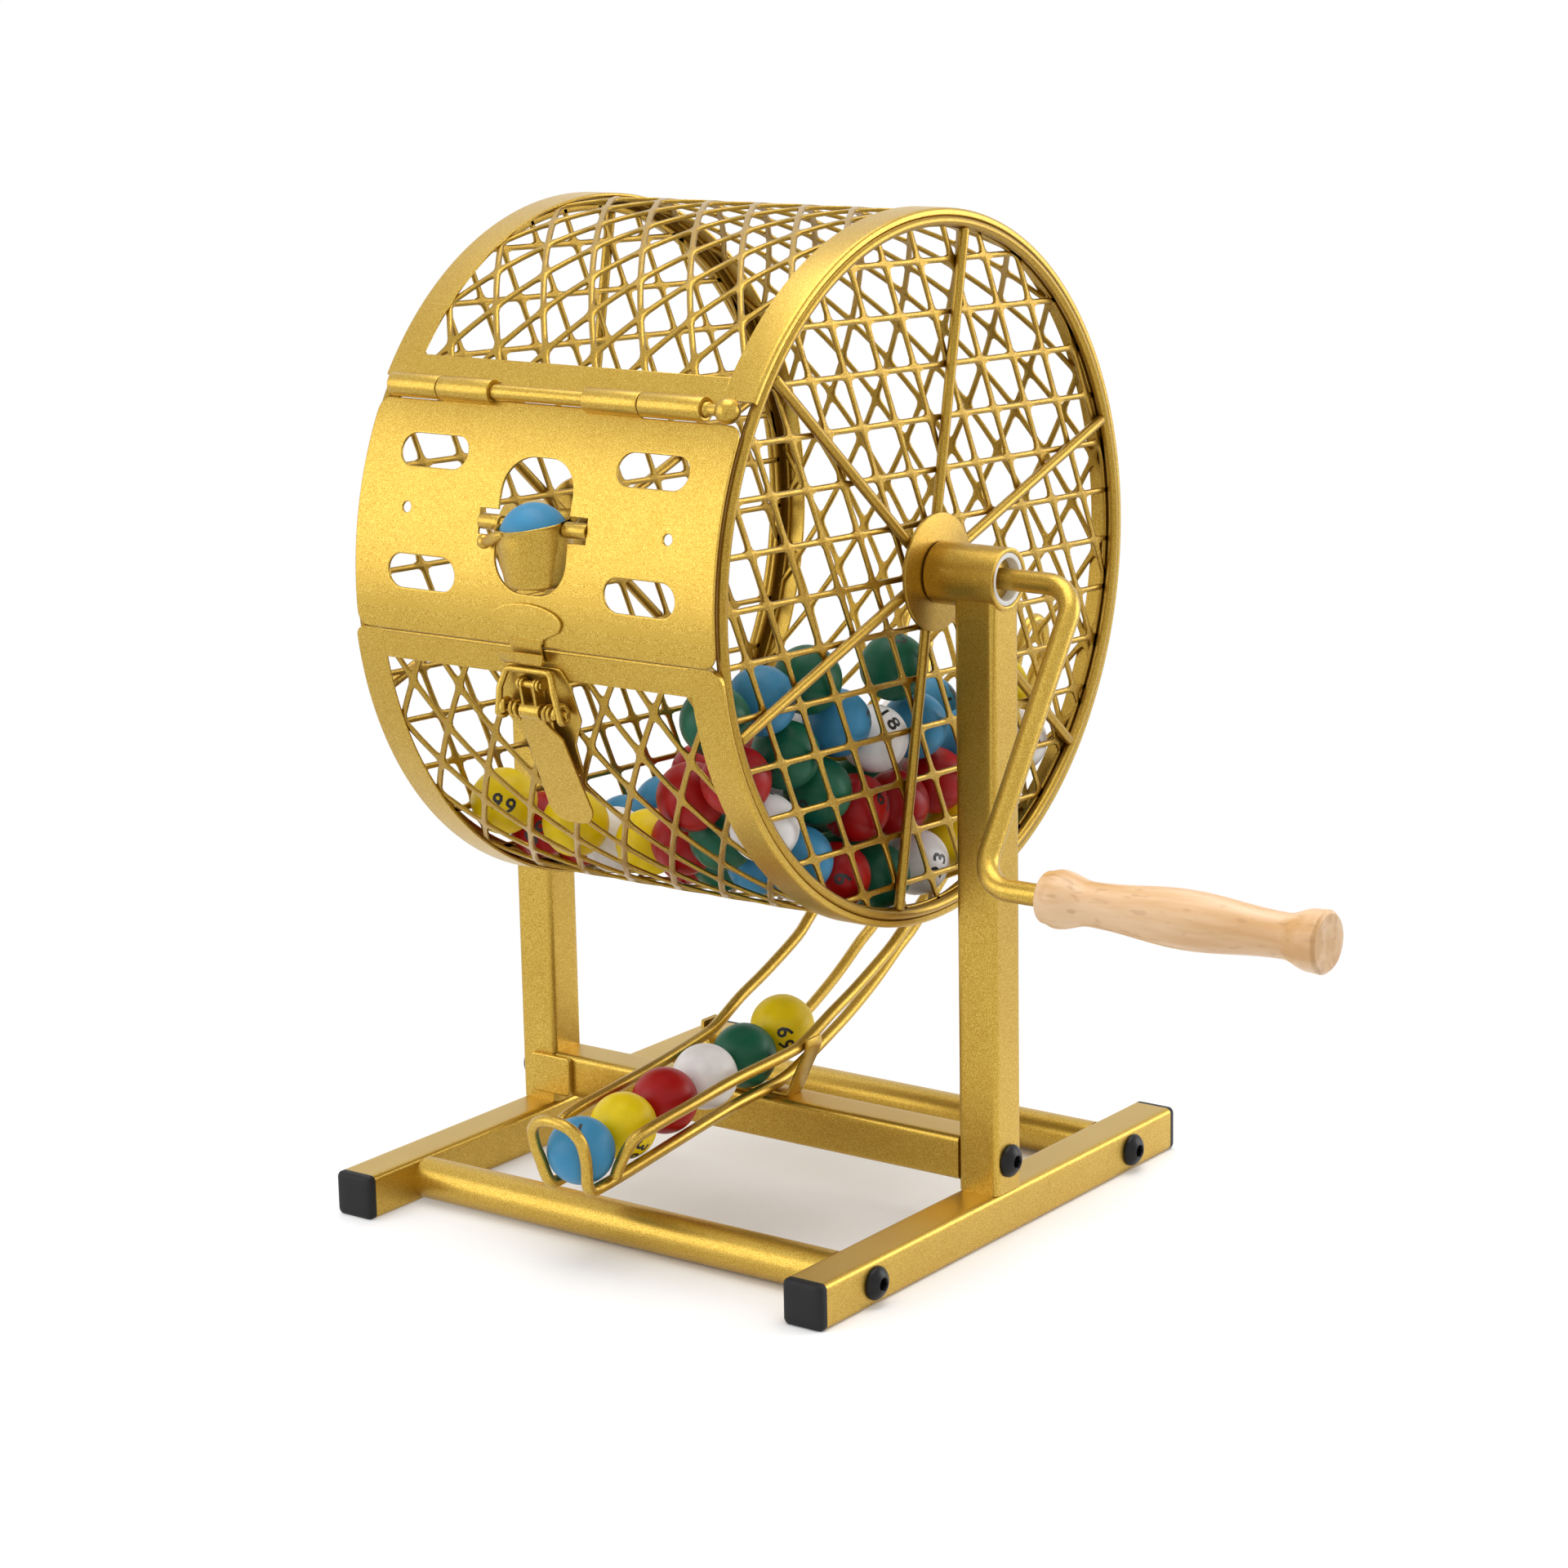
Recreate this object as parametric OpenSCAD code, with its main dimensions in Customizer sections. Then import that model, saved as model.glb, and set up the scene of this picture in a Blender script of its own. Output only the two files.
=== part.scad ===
// A raffle drum: a mesh drum on a stand of square tube, turned by a bent crank, with a wire ball chute.
// Lengths are in millimetres. X runs along the axle towards the crank, -Y is the door's side, Z is up.
// Angles round the drum start at its top and grow towards its front, so 90 faces the front.

/* [Stand] */
// Side of the square tube
tube_w = 15; // [14.5:0.1:15.5]
// Wall of the square tube
tube_wall = 1.2; // [1:0.1:1.5]
// Length of each floor rail
rail_l = 204.5; // [190:0.5:212]
// Distance from the middle to the centre of each rail
rail_x = 92; // [91:0.5:93]
// Diameter of the round tubes across the stand
cross_d = 14; // [12:0.5:14]
// Distance from the middle to each round tube
cross_y = 76.5; // [60:0.5:80]
// Height of the centre crossbar's axis
crossbar_z = 25.5; // [24:0.1:25.5]
// Height of the drum's axis
axle_z = 217; // [217:0.5:225]

/* [Bearings] */
// Outer diameter of the bearing tubes
bearing_d = 20; // [19:0.5:21]
// Outer diameter of the bushes
bush_d = 17; // [16:0.5:17]
// Diameter of the axles
axle_d = 13.5; // [12:0.1:14]
// Gap all round between an axle and its bush
axle_gap = 0.05; // [0.02:0.01:0.1]

/* [Drum] */
// Outer radius of the drum's sheet bands
drum_r = 114.3; // [114:0.1:114.5]
// Thickness of the sheet
sheet = 1; // [0.8:0.1:1.1]
// Half the width of the drum over its bands
drum_x = 72.4; // [72.2:0.1:72.6]
// Thickness of the expanded mesh
mesh_t = 1.2; // [1:0.1:1.3]
// Width of the mesh strands
strand_w = 1.9; // [1.6:0.1:2.4]
// Distance between mesh bonds across the strands
bond_x = 19.27; // [19:0.01:20]
// Diameter of the rim rings
ring_d = 3.5; // [3:0.1:3.6]

/* [Door] */
// Angle of the hinge's axis
hinge_t = 57.2; // [57:0.1:57.4]
// Outer diameter of the hinge barrels
barrel_d = 7.8; // [7:0.1:8]
// Diameter of the hinge pin
hinge_pin_d = 4.8; // [4:0.1:5]
// Angle of the cup's axis
cup_t = 77.4; // [77.2:0.1:77.6]
// Radius of the cup's mouth
cup_r = 12.2; // [12.1:0.1:12.6]
// Depth of the cup
cup_depth = 20; // [19:0.5:20]

/* [Crank] */
// Diameter of the crank's rod
crank_d = 7; // [6:0.5:8]
// Length of the crank's arm
crank_l = 100.5; // [90:0.5:110]
// Angle of the arm forward of straight down
crank_lean = 34.5; // [0:0.5:60]
// Distance from the middle to the arm's axis
crank_x = 126; // [120:0.5:130]
// Radius of the rod's bends
bend_r = 11; // [9:0.5:12]

/* [Balls] */
// Diameter of a ball
ball_d = 22; // [21.5:0.1:22]

/* [Hidden] */

$fn = 48;
gold = [0.8, 0.63, 0.25];
dark = [0.1, 0.1, 0.1];
nylon = [0.93, 0.93, 0.9];
beech = [0.87, 0.74, 0.55];
blue = [0.13, 0.45, 0.68];
yellow = [0.93, 0.78, 0.1];
red = [0.82, 0.12, 0.15];
white = [0.95, 0.95, 0.93];
green = [0.15, 0.55, 0.3];

rail_in = rail_x - tube_w / 2;
rail_out = rail_x + tube_w / 2;
corner = 1;
cap_t = 3;
cap_bevel = 1.4;
plug_l = 8;
insert_l = 15;
bolt_d = 6;
bolt_gap = 0.2;
head_h = 3.3;
head_d = 11;
bolt_l = tube_w + 12;

bearing_in = 74.75;
bearing_out = 100.6;
bush_recess = 0.5;

wire_r = 2;
wire_sides = 8;
tray_x = 8;
ball_r = ball_d / 2;
ball_gap = 0.3;
cradle_y = 8;
cradle_t = 1.4;
crossbar_top = crossbar_z + tube_w / 2;

sheet_in = drum_r - sheet;
mesh_in = sheet_in - mesh_t;
band_in = 60.5;
lip_r = 112;
mesh_x = 67.5;
open_x = 66;
bond_t = 16;
hole_long = drum_r * bond_t * PI / 360;
end_in = 68.25;
ring_x = 71.2;
ring_r = lip_r - ring_d / 2;
end_mesh_r = 110.3;
end_open_r = 108.2;
hub_in = ring_x + 0.05 + ring_d / 2;
hub_t = 1.2;
hub_d = 38;
spoke_in = 8;
spoke_first = -10.85;
axle_end = 97;

door_t = 77;
door_left = -70.5;
door_right = 71;
door_top = 58.2;
door_foot = 95.5;
hinge_r = 115.4;
pin_gap = 0.05;
body_gap = 0.3;
cup_x = 0.2;
cup_axis_r = 112.9;
cup_wall = 0.45;
cup_rise = 1.5;
cup_base_r = 9.9;
cup_pin_d = 3.2;
cup_tube_d = 5;
notch_x = 21.6;
notch_s = 4;

latch_x = 1;
strap_out = drum_r + 0.8;
lever_t = 101.5;
lever_r = 118;
bail_t = 105.6;
bail_r = 119;
latch_pin_d = 2.4;
ear_in = 2;
lug_in = 3.3;
latch_plate = 1;
coil_points = 8;
bail_wire_r = 0.95;
bail_eye_r = 2.5;
bail_eye_l = 2.35;
bail_eye_x = 12.5;
bar_t = 99.4;
bar_r = 117;
spring_wire_r = 0.65;
spring_r = 2.2;
spring_pitch = 1.75;
spring_turns = 2;
spring_x = 3.95;

grip_x = 148.8;
grip_pin_end = 234;

// Stations along the grip: distance from its inner end and radius
grip_stations = [
    [0, 5], [2, 8], [6.5, 9], [17.5, 6.8], [50, 9], [83, 6.8], [92, 9.3], [95.5, 9.5], [96.7, 8.5]
];

// Points of the right chute wire: the upper run from its front end, the rear bend, the lower run
upper_run = [
    [11, -93.5, 30.5], [12.3, -92.5, 35], [15, -89, 42], [16, -80, 44.2], [16, -60, 46], [16, -36, 48.3],
    [18, -10, 50.5], [18.5, 0, 52.5], [19, 14, 58.5], [19, 29, 64], [19, 47.5, 72], [19.5, 57, 78],
    [20, 75, 90], [21, 90, 103], [22, 102, 118], [23, 112, 135], [24, 119, 152], [25, 122.5, 165]
];
rear_bend = [[25.5, 126.5, 172.5], [25.5, 132.5, 175], [25.2, 138, 171.5]];
lower_run = [
    [24.5, 139, 163.5], [22.5, 134, 152], [19, 128, 133], [15, 119, 115], [11.5, 107, 98],
    [9, 92, 82.5], [8, 80, 72], [8, 70, 66.5], [8, 56, 58.2], [8, 40, 50.5], [8, 23, 44],
    [8, 8, 38.9], [8, 0, 37.1], [8, -8, 36.4], [8, -27, 35.2], [8, -50, 32.7], [8, -83, 28.8], [8, -100, 27.3]
];
// Right half of the hoop at the tray's front, to its top; it goes on straight from the lower run first
stop_start = [8, -100, 27.3];
stop_half = [
    [8, -100.8, 27.237], [8.1, -103, 28], [8.5, -104.8, 31], [9.4, -106, 36], [10.2, -107.6, 41],
    [9.6, -109.2, 46.5], [6, -110.4, 50.3], [0, -110.9, 51.6]
];

function unit(v) = v / norm(v);
function last(list) = list[len(list) - 1];
function polar(t, r, x = 0) = [x, -r * sin(t), axle_z + r * cos(t)];
function outward(t) = [0, -sin(t), cos(t)];
function along(t) = [0, -cos(t), -sin(t)];
function arc(centre, r, from, to, n = 6) =
    [for (i = [0:n]) let (a = from + (to - from) * i / n) centre + r * [cos(a), sin(a)]];
function spline_point(a, b, c, d, u) =
    0.5 * (2 * b + (c - a) * u + (2 * a - 5 * b + 4 * c - d) * u * u + (3 * b - a - 3 * c + d) * u * u * u);
function smooth(p, n) = concat(
    [for (i = [0:len(p) - 2]) for (j = [0:n - 1])
        spline_point(p[max(i - 1, 0)], p[i], p[i + 1], p[min(i + 2, len(p) - 1)], j / n)],
    [last(p)]
);
function tangents(p) =
    [for (i = [0:len(p) - 1]) unit(p[min(i + 1, len(p) - 1)] - p[max(i - 1, 0)])];
// Vector v carried without twist from direction a to direction b
function carried(v, a, b) =
    let (k = cross(a, b), s = norm(k), c = a * b)
    s < 0.000001 ? v : v * c + cross(k, v) + k * (k * v) * (1 - c) / (s * s);
function normals(t) =
    [for (i = 0, v = unit(cross(t[0], abs(t[0].x) < 0.9 ? [1, 0, 0] : [0, 1, 0])); i < len(t);
        v = i + 1 < len(t) ? carried(v, t[i], t[i + 1]) : v, i = i + 1) v];
function ring_points(p, r, sides) =
    let (t = tangents(p), n = normals(t))
    [for (i = [0:len(p) - 1]) for (k = [0:sides - 1])
        p[i] + r * (n[i] * cos(360 * k / sides) + cross(t[i], n[i]) * sin(360 * k / sides))];

right_wire = smooth(concat(upper_run, rear_bend, lower_run), 2);
function mirrored(p) = [-p.x, p.y, p.z];
stop_wire = concat(
    [stop_start],
    smooth(concat(stop_half, [for (i = [len(stop_half) - 2:-1:0]) mirrored(stop_half[i])]), 2),
    [mirrored(stop_start)]
);

// The box of the whole object, which sets the origin: its middle across, and the floor
grip_end = grip_x + last(grip_stations).x;
cup_y = -cup_axis_r * sin(cup_t);
cup_z = axle_z + cup_axis_r * cos(cup_t);
box_x = [-rail_out - head_h, grip_end];
box_y = [cup_y - cup_r, max([for (p = ring_points(right_wire, wire_r, wire_sides)) p.y])];
origin_shift = [-(box_x[0] + box_x[1]) / 2, -(box_y[0] + box_y[1]) / 2, 0];
echo(origin_shift = origin_shift, box_y = box_y);

module in_frame() {
    translate(origin_shift) children();
}

module sided(side) {
    if (side < 0) mirror([1, 0, 0]) children();
    else children();
}

// A tube swept along points
module wire(points, r, sides) {
    n = len(points);
    polyhedron(
        points = ring_points(points, r, sides),
        faces = concat(
            [for (k = [1:sides - 2]) [0, k, k + 1]],
            [for (k = [1:sides - 2]) [(n - 1) * sides, (n - 1) * sides + k + 1, (n - 1) * sides + k]],
            [for (i = [0:n - 2]) for (k = [0:sides - 1])
                [i * sides + k, (i + 1) * sides + k, (i + 1) * sides + (k + 1) % sides]],
            [for (i = [0:n - 2]) for (k = [0:sides - 1])
                [i * sides + k, (i + 1) * sides + (k + 1) % sides, i * sides + (k + 1) % sides]]
        ),
        convexity = 8
    );
}

module rod(from, to, d) {
    v = to - from;
    translate(from)
        rotate([0, acos(v.z / norm(v)), atan2(v.y, v.x)])
            cylinder(h = norm(v), d = d);
}

module along_x(from, to, d) {
    translate([from, 0, 0])
        rotate([0, 90, 0])
            cylinder(h = to - from, d = d);
}

// Local Z points away from the drum's axis, and local -Y along the growing angle
module at_angle(t) {
    translate([0, 0, axle_z])
        rotate([t, 0, 0])
            children();
}

module on_axle() {
    translate([0, 0, axle_z]) children();
}

// Turns a profile of radius and x round the drum's axis between two angles
module sweep_arc(from, to) {
    on_axle()
        rotate([0, 90, 0])
            rotate([0, 0, from - 180])
                rotate_extrude(angle = to - from, $fn = 180)
                    children();
}

module shell(r_in, r_out, x_from, x_to, from, to) {
    sweep_arc(from, to)
        polygon([[r_in, x_from], [r_out, x_from], [r_out, x_to], [r_in, x_to]]);
}

// A cutter through the drum's wall, drawn in x and the distance along the growing angle
module through_wall(t, outline) {
    at_angle(t)
        translate([0, 0, drum_r - 25])
            linear_extrude(50)
                polygon([for (p = outline) [p.x, -p.y]]);
}

function rounded_box(x_from, x_to, s_from, s_to, r) = concat(
    arc([x_to - r, s_to - r], r, 0, 90),
    arc([x_from + r, s_to - r], r, 90, 180),
    arc([x_from + r, s_from + r], r, 180, 270),
    arc([x_to - r, s_from + r], r, 270, 360)
);

// Square tube

module tube_outline(w, c) {
    h = w / 2;
    polygon([
        [h, c - h], [h, h - c], [h - c, h], [c - h, h], [-h, h - c], [-h, c - h], [c - h, -h], [h - c, -h]
    ]);
}

module square_tube(l) {
    difference() {
        linear_extrude(l) tube_outline(tube_w, corner);
        translate([0, 0, -1]) linear_extrude(l + 2) tube_outline(tube_w - 2 * tube_wall, corner);
    }
}

module bolt_hole(y, z) {
    translate([0, y, z])
        along_x(rail_in - 1, rail_out + 1, bolt_d + 2 * bolt_gap);
}

module rail(side) {
    sided(side)
        difference() {
            translate([rail_x, rail_l / 2, tube_w / 2])
                rotate([90, 0, 0])
                    square_tube(rail_l);
            for (y = [-cross_y, cross_y])
                bolt_hole(y, tube_w / 2);
        }
}

module end_cap() {
    plug = tube_w - 2 * tube_wall - 0.2;
    h = tube_w / 2;
    b = cap_bevel;
    bevelled = [[-h, 0], [h, 0], [h, b - cap_t], [h - b, -cap_t], [b - h, -cap_t], [-h, b - cap_t]];
    union() {
        intersection() {
            rotate([90, 0, 0])
                linear_extrude(cap_t)
                    tube_outline(tube_w, corner);
            rotate([0, 90, 0])
                translate([0, 0, -h])
                    linear_extrude(tube_w)
                        polygon(bevelled);
            translate([0, 0, -h])
                linear_extrude(tube_w)
                    polygon(bevelled);
        }
        translate([0, plug_l, 0])
            rotate([90, 0, 0])
                linear_extrude(plug_l + 0.5)
                    tube_outline(plug, corner);
    }
}

module upright(side) {
    sided(side)
        difference() {
            translate([rail_x, 0, tube_w])
                square_tube(axle_z - tube_w);
            bolt_hole(0, crossbar_z);
            on_axle() along_x(rail_in - 1, rail_out + 1, bearing_d);
        }
}

module cross_tube(y) {
    translate([0, y, tube_w / 2])
        difference() {
            along_x(-rail_in, rail_in, cross_d);
            along_x(-rail_in - 1, rail_in + 1, cross_d - 2 * tube_wall);
        }
}

module insert(y) {
    translate([0, y, tube_w / 2])
        difference() {
            along_x(rail_in - insert_l, rail_in, cross_d - 2 * tube_wall);
            along_x(rail_in - insert_l - 1, rail_in + 1, bolt_d);
        }
}

module square_insert() {
    translate([0, 0, crossbar_z])
        difference() {
            translate([rail_in - insert_l, 0, 0])
                rotate([0, 90, 0])
                    linear_extrude(insert_l)
                        tube_outline(tube_w - 2 * tube_wall, corner);
            along_x(rail_in - insert_l - 1, rail_in + 1, bolt_d);
        }
}

module bolt(y, z) {
    translate([rail_out, y, z])
        rotate([0, 90, 0])
            difference() {
                union() {
                    rotate_extrude()
                        polygon([
                            [0, 0], [head_d / 2, 0], [head_d / 2, 0.9], [4.9, 2.1], [3.8, 2.9],
                            [2.4, head_h], [0, head_h]
                        ]);
                    translate([0, 0, -bolt_l]) cylinder(h = bolt_l + 0.5, d = bolt_d);
                }
                translate([0, 0, 1.3]) cylinder(h = head_h, d = 4.6, $fn = 6);
            }
}

module bearing_tube(side) {
    sided(side)
        on_axle()
            difference() {
                along_x(bearing_in, bearing_out, bearing_d);
                along_x(bearing_in - 1, bearing_out + 1, bush_d);
            }
}

module bush(side) {
    sided(side)
        on_axle()
            difference() {
                along_x(bearing_in + bush_recess, bearing_out - bush_recess, bush_d);
                along_x(bearing_in - 1, bearing_out + 1, axle_d + 2 * axle_gap);
            }
}

module left_rail() {
    color(gold) in_frame() rail(-1);
}

module right_rail() {
    color(gold) in_frame() rail(1);
}

module end_caps() {
    color(dark)
        in_frame()
            for (side = [-1, 1], end = [0, 1])
                sided(side)
                    mirror([0, end, 0])
                        translate([rail_x, -rail_l / 2, tube_w / 2])
                            end_cap();
}

module front_cross_tube() {
    color(gold) in_frame() cross_tube(-cross_y);
}

module rear_cross_tube() {
    color(gold) in_frame() cross_tube(cross_y);
}

module centre_crossbar() {
    color(gold)
        in_frame()
            translate([-rail_in, 0, crossbar_z])
                rotate([0, 90, 0])
                    square_tube(2 * rail_in);
}

module tube_inserts() {
    color("silver")
        in_frame()
            for (side = [-1, 1])
                sided(side) {
                    insert(-cross_y);
                    insert(cross_y);
                    square_insert();
                }
}

module foot_plate() {
    color(gold)
        in_frame()
            translate([0, -tube_w / 2, 0])
                rotate([90, 0, 0])
                    linear_extrude(2)
                        polygon(concat(
                            [[-76.7, 18.5], [-76.7, 32.5]],
                            arc([-91.4, 29.5], 3, 90, 180),
                            [[-94.4, 18.5]]
                        ));
}

module left_upright() {
    color(gold) in_frame() upright(-1);
}

module right_upright() {
    color(gold) in_frame() upright(1);
}

module left_bearing_tube() {
    color(gold) in_frame() bearing_tube(-1);
}

module right_bearing_tube() {
    color(gold) in_frame() bearing_tube(1);
}

module left_bush() {
    color(nylon) in_frame() bush(-1);
}

module right_bush() {
    color(nylon) in_frame() bush(1);
}

module base_bolts() {
    color(dark)
        in_frame()
            for (side = [-1, 1])
                sided(side) {
                    bolt(-cross_y, tube_w / 2);
                    bolt(cross_y, tube_w / 2);
                    bolt(0, crossbar_z);
                }
}

// Chute and the balls in its tray

module left_chute_wire() {
    color(gold) in_frame() wire([for (p = right_wire) mirrored(p)], wire_r, wire_sides);
}

module right_chute_wire() {
    color(gold) in_frame() wire(right_wire, wire_r, wire_sides);
}

module ball_stop() {
    color(gold) in_frame() wire(stop_wire, wire_r, wire_sides);
}

module chute_cradle() {
    half = [
        [12, crossbar_top], [13.5, crossbar_top], [22.3, 50.6], [22.3, 54], [20.9, 54], [20.9, 51],
        [12.6, crossbar_top + cradle_t]
    ];
    color(gold)
        in_frame()
            translate([0, cradle_y / 2, 0])
                rotate([90, 0, 0])
                    linear_extrude(cradle_y)
                        polygon(concat(half, [for (i = [len(half) - 1:-1:0]) [-half[i].x, half[i].y]]));
}

function tray_height(y) = lookup(y, [for (p = lower_run) if (p.y < 60 && p.z < 60) [p.y, p.z]]);
function tray_ball(i) =
    let (y = -97.1 + i * 21.85, slope = (tray_height(y + 4) - tray_height(y - 4)) / 8,
        rise = sqrt(pow(ball_r + wire_r + ball_gap, 2) - tray_x * tray_x))
    [0, y, tray_height(y) + rise * sqrt(1 + slope * slope)];

module tray_balls(places) {
    for (i = places)
        translate(tray_ball(i))
            sphere(ball_r);
}

module blue_tray_ball() {
    color(blue) in_frame() tray_balls([0]);
}

module yellow_tray_balls() {
    color(yellow) in_frame() tray_balls([1, 5]);
}

module red_tray_ball() {
    color(red) in_frame() tray_balls([2]);
}

module white_tray_ball() {
    color(white) in_frame() tray_balls([3]);
}

module green_tray_ball() {
    color(green) in_frame() tray_balls([4]);
}

// Drum frame

module band(side) {
    top = 415.2;
    foot = 96.2;
    r = 5;
    sided(side)
        difference() {
            sweep_arc(foot, top)
                polygon([
                    [sheet_in, band_in], [drum_r, band_in], [drum_r, drum_x - 0.8], [drum_r - 0.7, drum_x],
                    [lip_r, drum_x], [lip_r, drum_x - sheet], [sheet_in, drum_x - sheet]
                ]);
            through_wall(foot, concat([[drum_x + 1, -1], [drum_x - r, -1]],
                arc([drum_x - r, r], r, -90, 0), [[drum_x + 1, r]]));
        }
}

module left_band() {
    color(gold) in_frame() band(-1);
}

module right_band() {
    color(gold) in_frame() band(1);
}

module hinge_cut(from, to, r) {
    at_angle(hinge_t)
        translate([0, 0, hinge_r])
            along_x(from, to, 2 * r);
}

frame_barrels = [[-66, -46.15], [33.65, 57]];
door_barrels = [[-45.85, -25], [12, 33.35]];

module upper_crossbar() {
    color(gold)
        in_frame()
            difference() {
                shell(sheet_in, drum_r, -band_in, band_in, 51.3, hinge_t);
                hinge_cut(-band_in - 1, band_in + 1, barrel_d / 2);
                for (b = door_barrels)
                    hinge_cut(b[0] - body_gap, b[1] + body_gap, barrel_d / 2 + body_gap);
            }
}

module lower_crossbar() {
    color(gold) in_frame() shell(sheet_in, drum_r, -band_in, band_in, 96.2, 101);
}

// Mesh

// Opening between four bonds, with its blunt corners cut
function mesh_hole(half_short, half_long) =
    let (inset = 1 - (strand_w / 2) * norm([half_short, half_long]) / (half_short * half_long),
        b = half_long * inset, cut = 1.8, a = half_short * inset * (1 - cut / b))
    [[0, b], [a, cut], [a, -cut], [0, -b], [-a, -cut], [-a, cut]];

module wall_holes(from, to) {
    hole = mesh_hole(bond_x / 2, hole_long);
    rows = [for (k = [0:50]) 48.8 + bond_t * k / 2];
    for (k = [0:50])
        if (rows[k] > from - 8 && rows[k] < to + 8)
            for (i = [-4:4])
                at_angle(rows[k])
                    translate([(k % 2 == 0 ? -33.36 : -42.99) + bond_x * (i + 2), 0, mesh_in - 2])
                        linear_extrude(mesh_t + 4)
                            polygon(hole);
}

module mesh_arc(from, to, open_from, open_to) {
    difference() {
        shell(mesh_in, sheet_in, -mesh_x, mesh_x, from, to);
        intersection() {
            wall_holes(from, to);
            shell(mesh_in - 1, sheet_in + 1, -open_x, open_x, open_from, open_to);
        }
    }
}

module wall_mesh() {
    start = 98;
    end = 414;
    first = 132.8;
    step = 32;
    slit = 0.02;
    color(gold)
        in_frame() {
            mesh_arc(start, first, start + 1, first + 1);
            for (k = [0:7]) {
                from = first + k * step;
                mesh_arc(from + slit, from + step, from - 1, from + step + 1);
            }
            mesh_arc(first + 8 * step + slit, end, first + 8 * step - 1, end - 1);
        }
}

module end_mesh(side) {
    hole = mesh_hole(bond_x / 2, hole_long);
    lean = 33.5;
    long_way = [cos(lean), -sin(lean)];
    short_way = [sin(lean), cos(lean)];
    bond = [-55, 75.4];
    on_axle()
        difference() {
            translate([side > 0 ? end_in : -end_in - mesh_t, 0, 0])
                rotate([0, 90, 0])
                    cylinder(h = mesh_t, r = end_mesh_r, $fn = 180);
            intersection() {
                for (i = [-14:14], j = [-14:14]) {
                    p = bond + short_way * bond_x * (i + (j % 2 == 0 ? 0.5 : 0)) + long_way * hole_long * j;
                    if (norm(p) < end_open_r + hole_long)
                        translate([side > 0 ? end_in - 2 : -end_in - mesh_t - 2, p.x, p.y])
                            rotate([90, 0, 90])
                                rotate([0, 0, -90 - lean])
                                    linear_extrude(mesh_t + 4)
                                        polygon(hole);
                }
                translate([side > 0 ? end_in - 1 : -end_in - mesh_t - 1, 0, 0])
                    rotate([0, 90, 0])
                        cylinder(h = mesh_t + 2, r = end_open_r, $fn = 180);
            }
        }
}

module left_end_mesh() {
    color(gold) in_frame() end_mesh(-1);
}

module right_end_mesh() {
    color(gold) in_frame() end_mesh(1);
}

// Rings, spokes, hubs and axles

module rim_ring(side) {
    on_axle()
        translate([side * ring_x, 0, 0])
            rotate([0, 90, 0])
                rotate_extrude($fn = 180)
                    translate([ring_r, 0])
                        circle(d = ring_d, $fn = 32);
}

module spokes(side) {
    for (i = [0:5])
        at_angle(spoke_first - 60 * i)
            translate([side * (ring_x + 0.05), 0, spoke_in])
                cylinder(h = ring_r - ring_d / 2 - 0.1 - spoke_in, d = ring_d, $fn = 32);
}

module left_rim_ring() {
    color(gold) in_frame() rim_ring(-1);
}

module right_rim_ring() {
    color(gold) in_frame() rim_ring(1);
}

module left_spokes() {
    color(gold) in_frame() spokes(-1);
}

module right_spokes() {
    color(gold) in_frame() spokes(1);
}

module left_hub_disc() {
    color(gold) in_frame() on_axle() along_x(-hub_in - hub_t, -hub_in, hub_d);
}

module right_hub_disc() {
    color(gold) in_frame() on_axle() along_x(hub_in, hub_in + hub_t, hub_d);
}

module left_axle() {
    color(gold) in_frame() on_axle() along_x(-axle_end, -hub_in - hub_t, axle_d);
}

module right_axle() {
    color(gold) in_frame() on_axle() along_x(hub_in + hub_t, axle_end, axle_d);
}

// Crank and grip

module crank_frame() {
    on_axle()
        rotate([-crank_lean, 0, 0])
            children();
}

module elbow() {
    rotate([90, 0, 0])
        rotate_extrude(angle = 90)
            translate([bend_r, 0])
                circle(d = crank_d, $fn = 32);
}

module crank_rod() {
    color(gold)
        in_frame()
            crank_frame()
                union() {
                    along_x(axle_end, crank_x - bend_r, crank_d);
                    translate([crank_x - bend_r, 0, -bend_r]) elbow();
                    translate([crank_x, 0, bend_r - crank_l]) cylinder(h = crank_l - 2 * bend_r, d = crank_d);
                    translate([crank_x + bend_r, 0, bend_r - crank_l]) rotate([0, 180, 0]) elbow();
                    translate([0, 0, -crank_l]) along_x(crank_x + bend_r, grip_pin_end, crank_d);
                }
}

function grip_between(a, b, n = 8) =
    [for (j = [0:n - 1]) [a.x + (b.x - a.x) * j / n, a.y + (b.y - a.y) * (1 - cos(180 * j / n)) / 2]];

module wooden_grip() {
    s = grip_stations;
    outline = concat([for (i = [0:len(s) - 2]) for (p = grip_between(s[i], s[i + 1])) p], [last(s)]);
    color(beech)
        in_frame()
            crank_frame()
                translate([grip_x, 0, -crank_l])
                    difference() {
                        rotate([0, 90, 0])
                            rotate_extrude()
                                polygon(concat([[0, 0]], [for (p = outline) [p.y, p.x]], [[0, last(s).x]]));
                        along_x(-1, 88, crank_d + 0.1);
                    }
}

// Hinge

module barrels(list) {
    at_angle(hinge_t)
        translate([0, 0, hinge_r])
            for (b = list)
                difference() {
                    along_x(b[0], b[1], barrel_d);
                    along_x(b[0] - 1, b[1] + 1, hinge_pin_d + 2 * pin_gap);
                }
}

module frame_hinge_barrels() {
    color(gold) in_frame() barrels(frame_barrels);
}

module door_hinge_barrels() {
    color(gold) in_frame() barrels(door_barrels);
}

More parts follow.
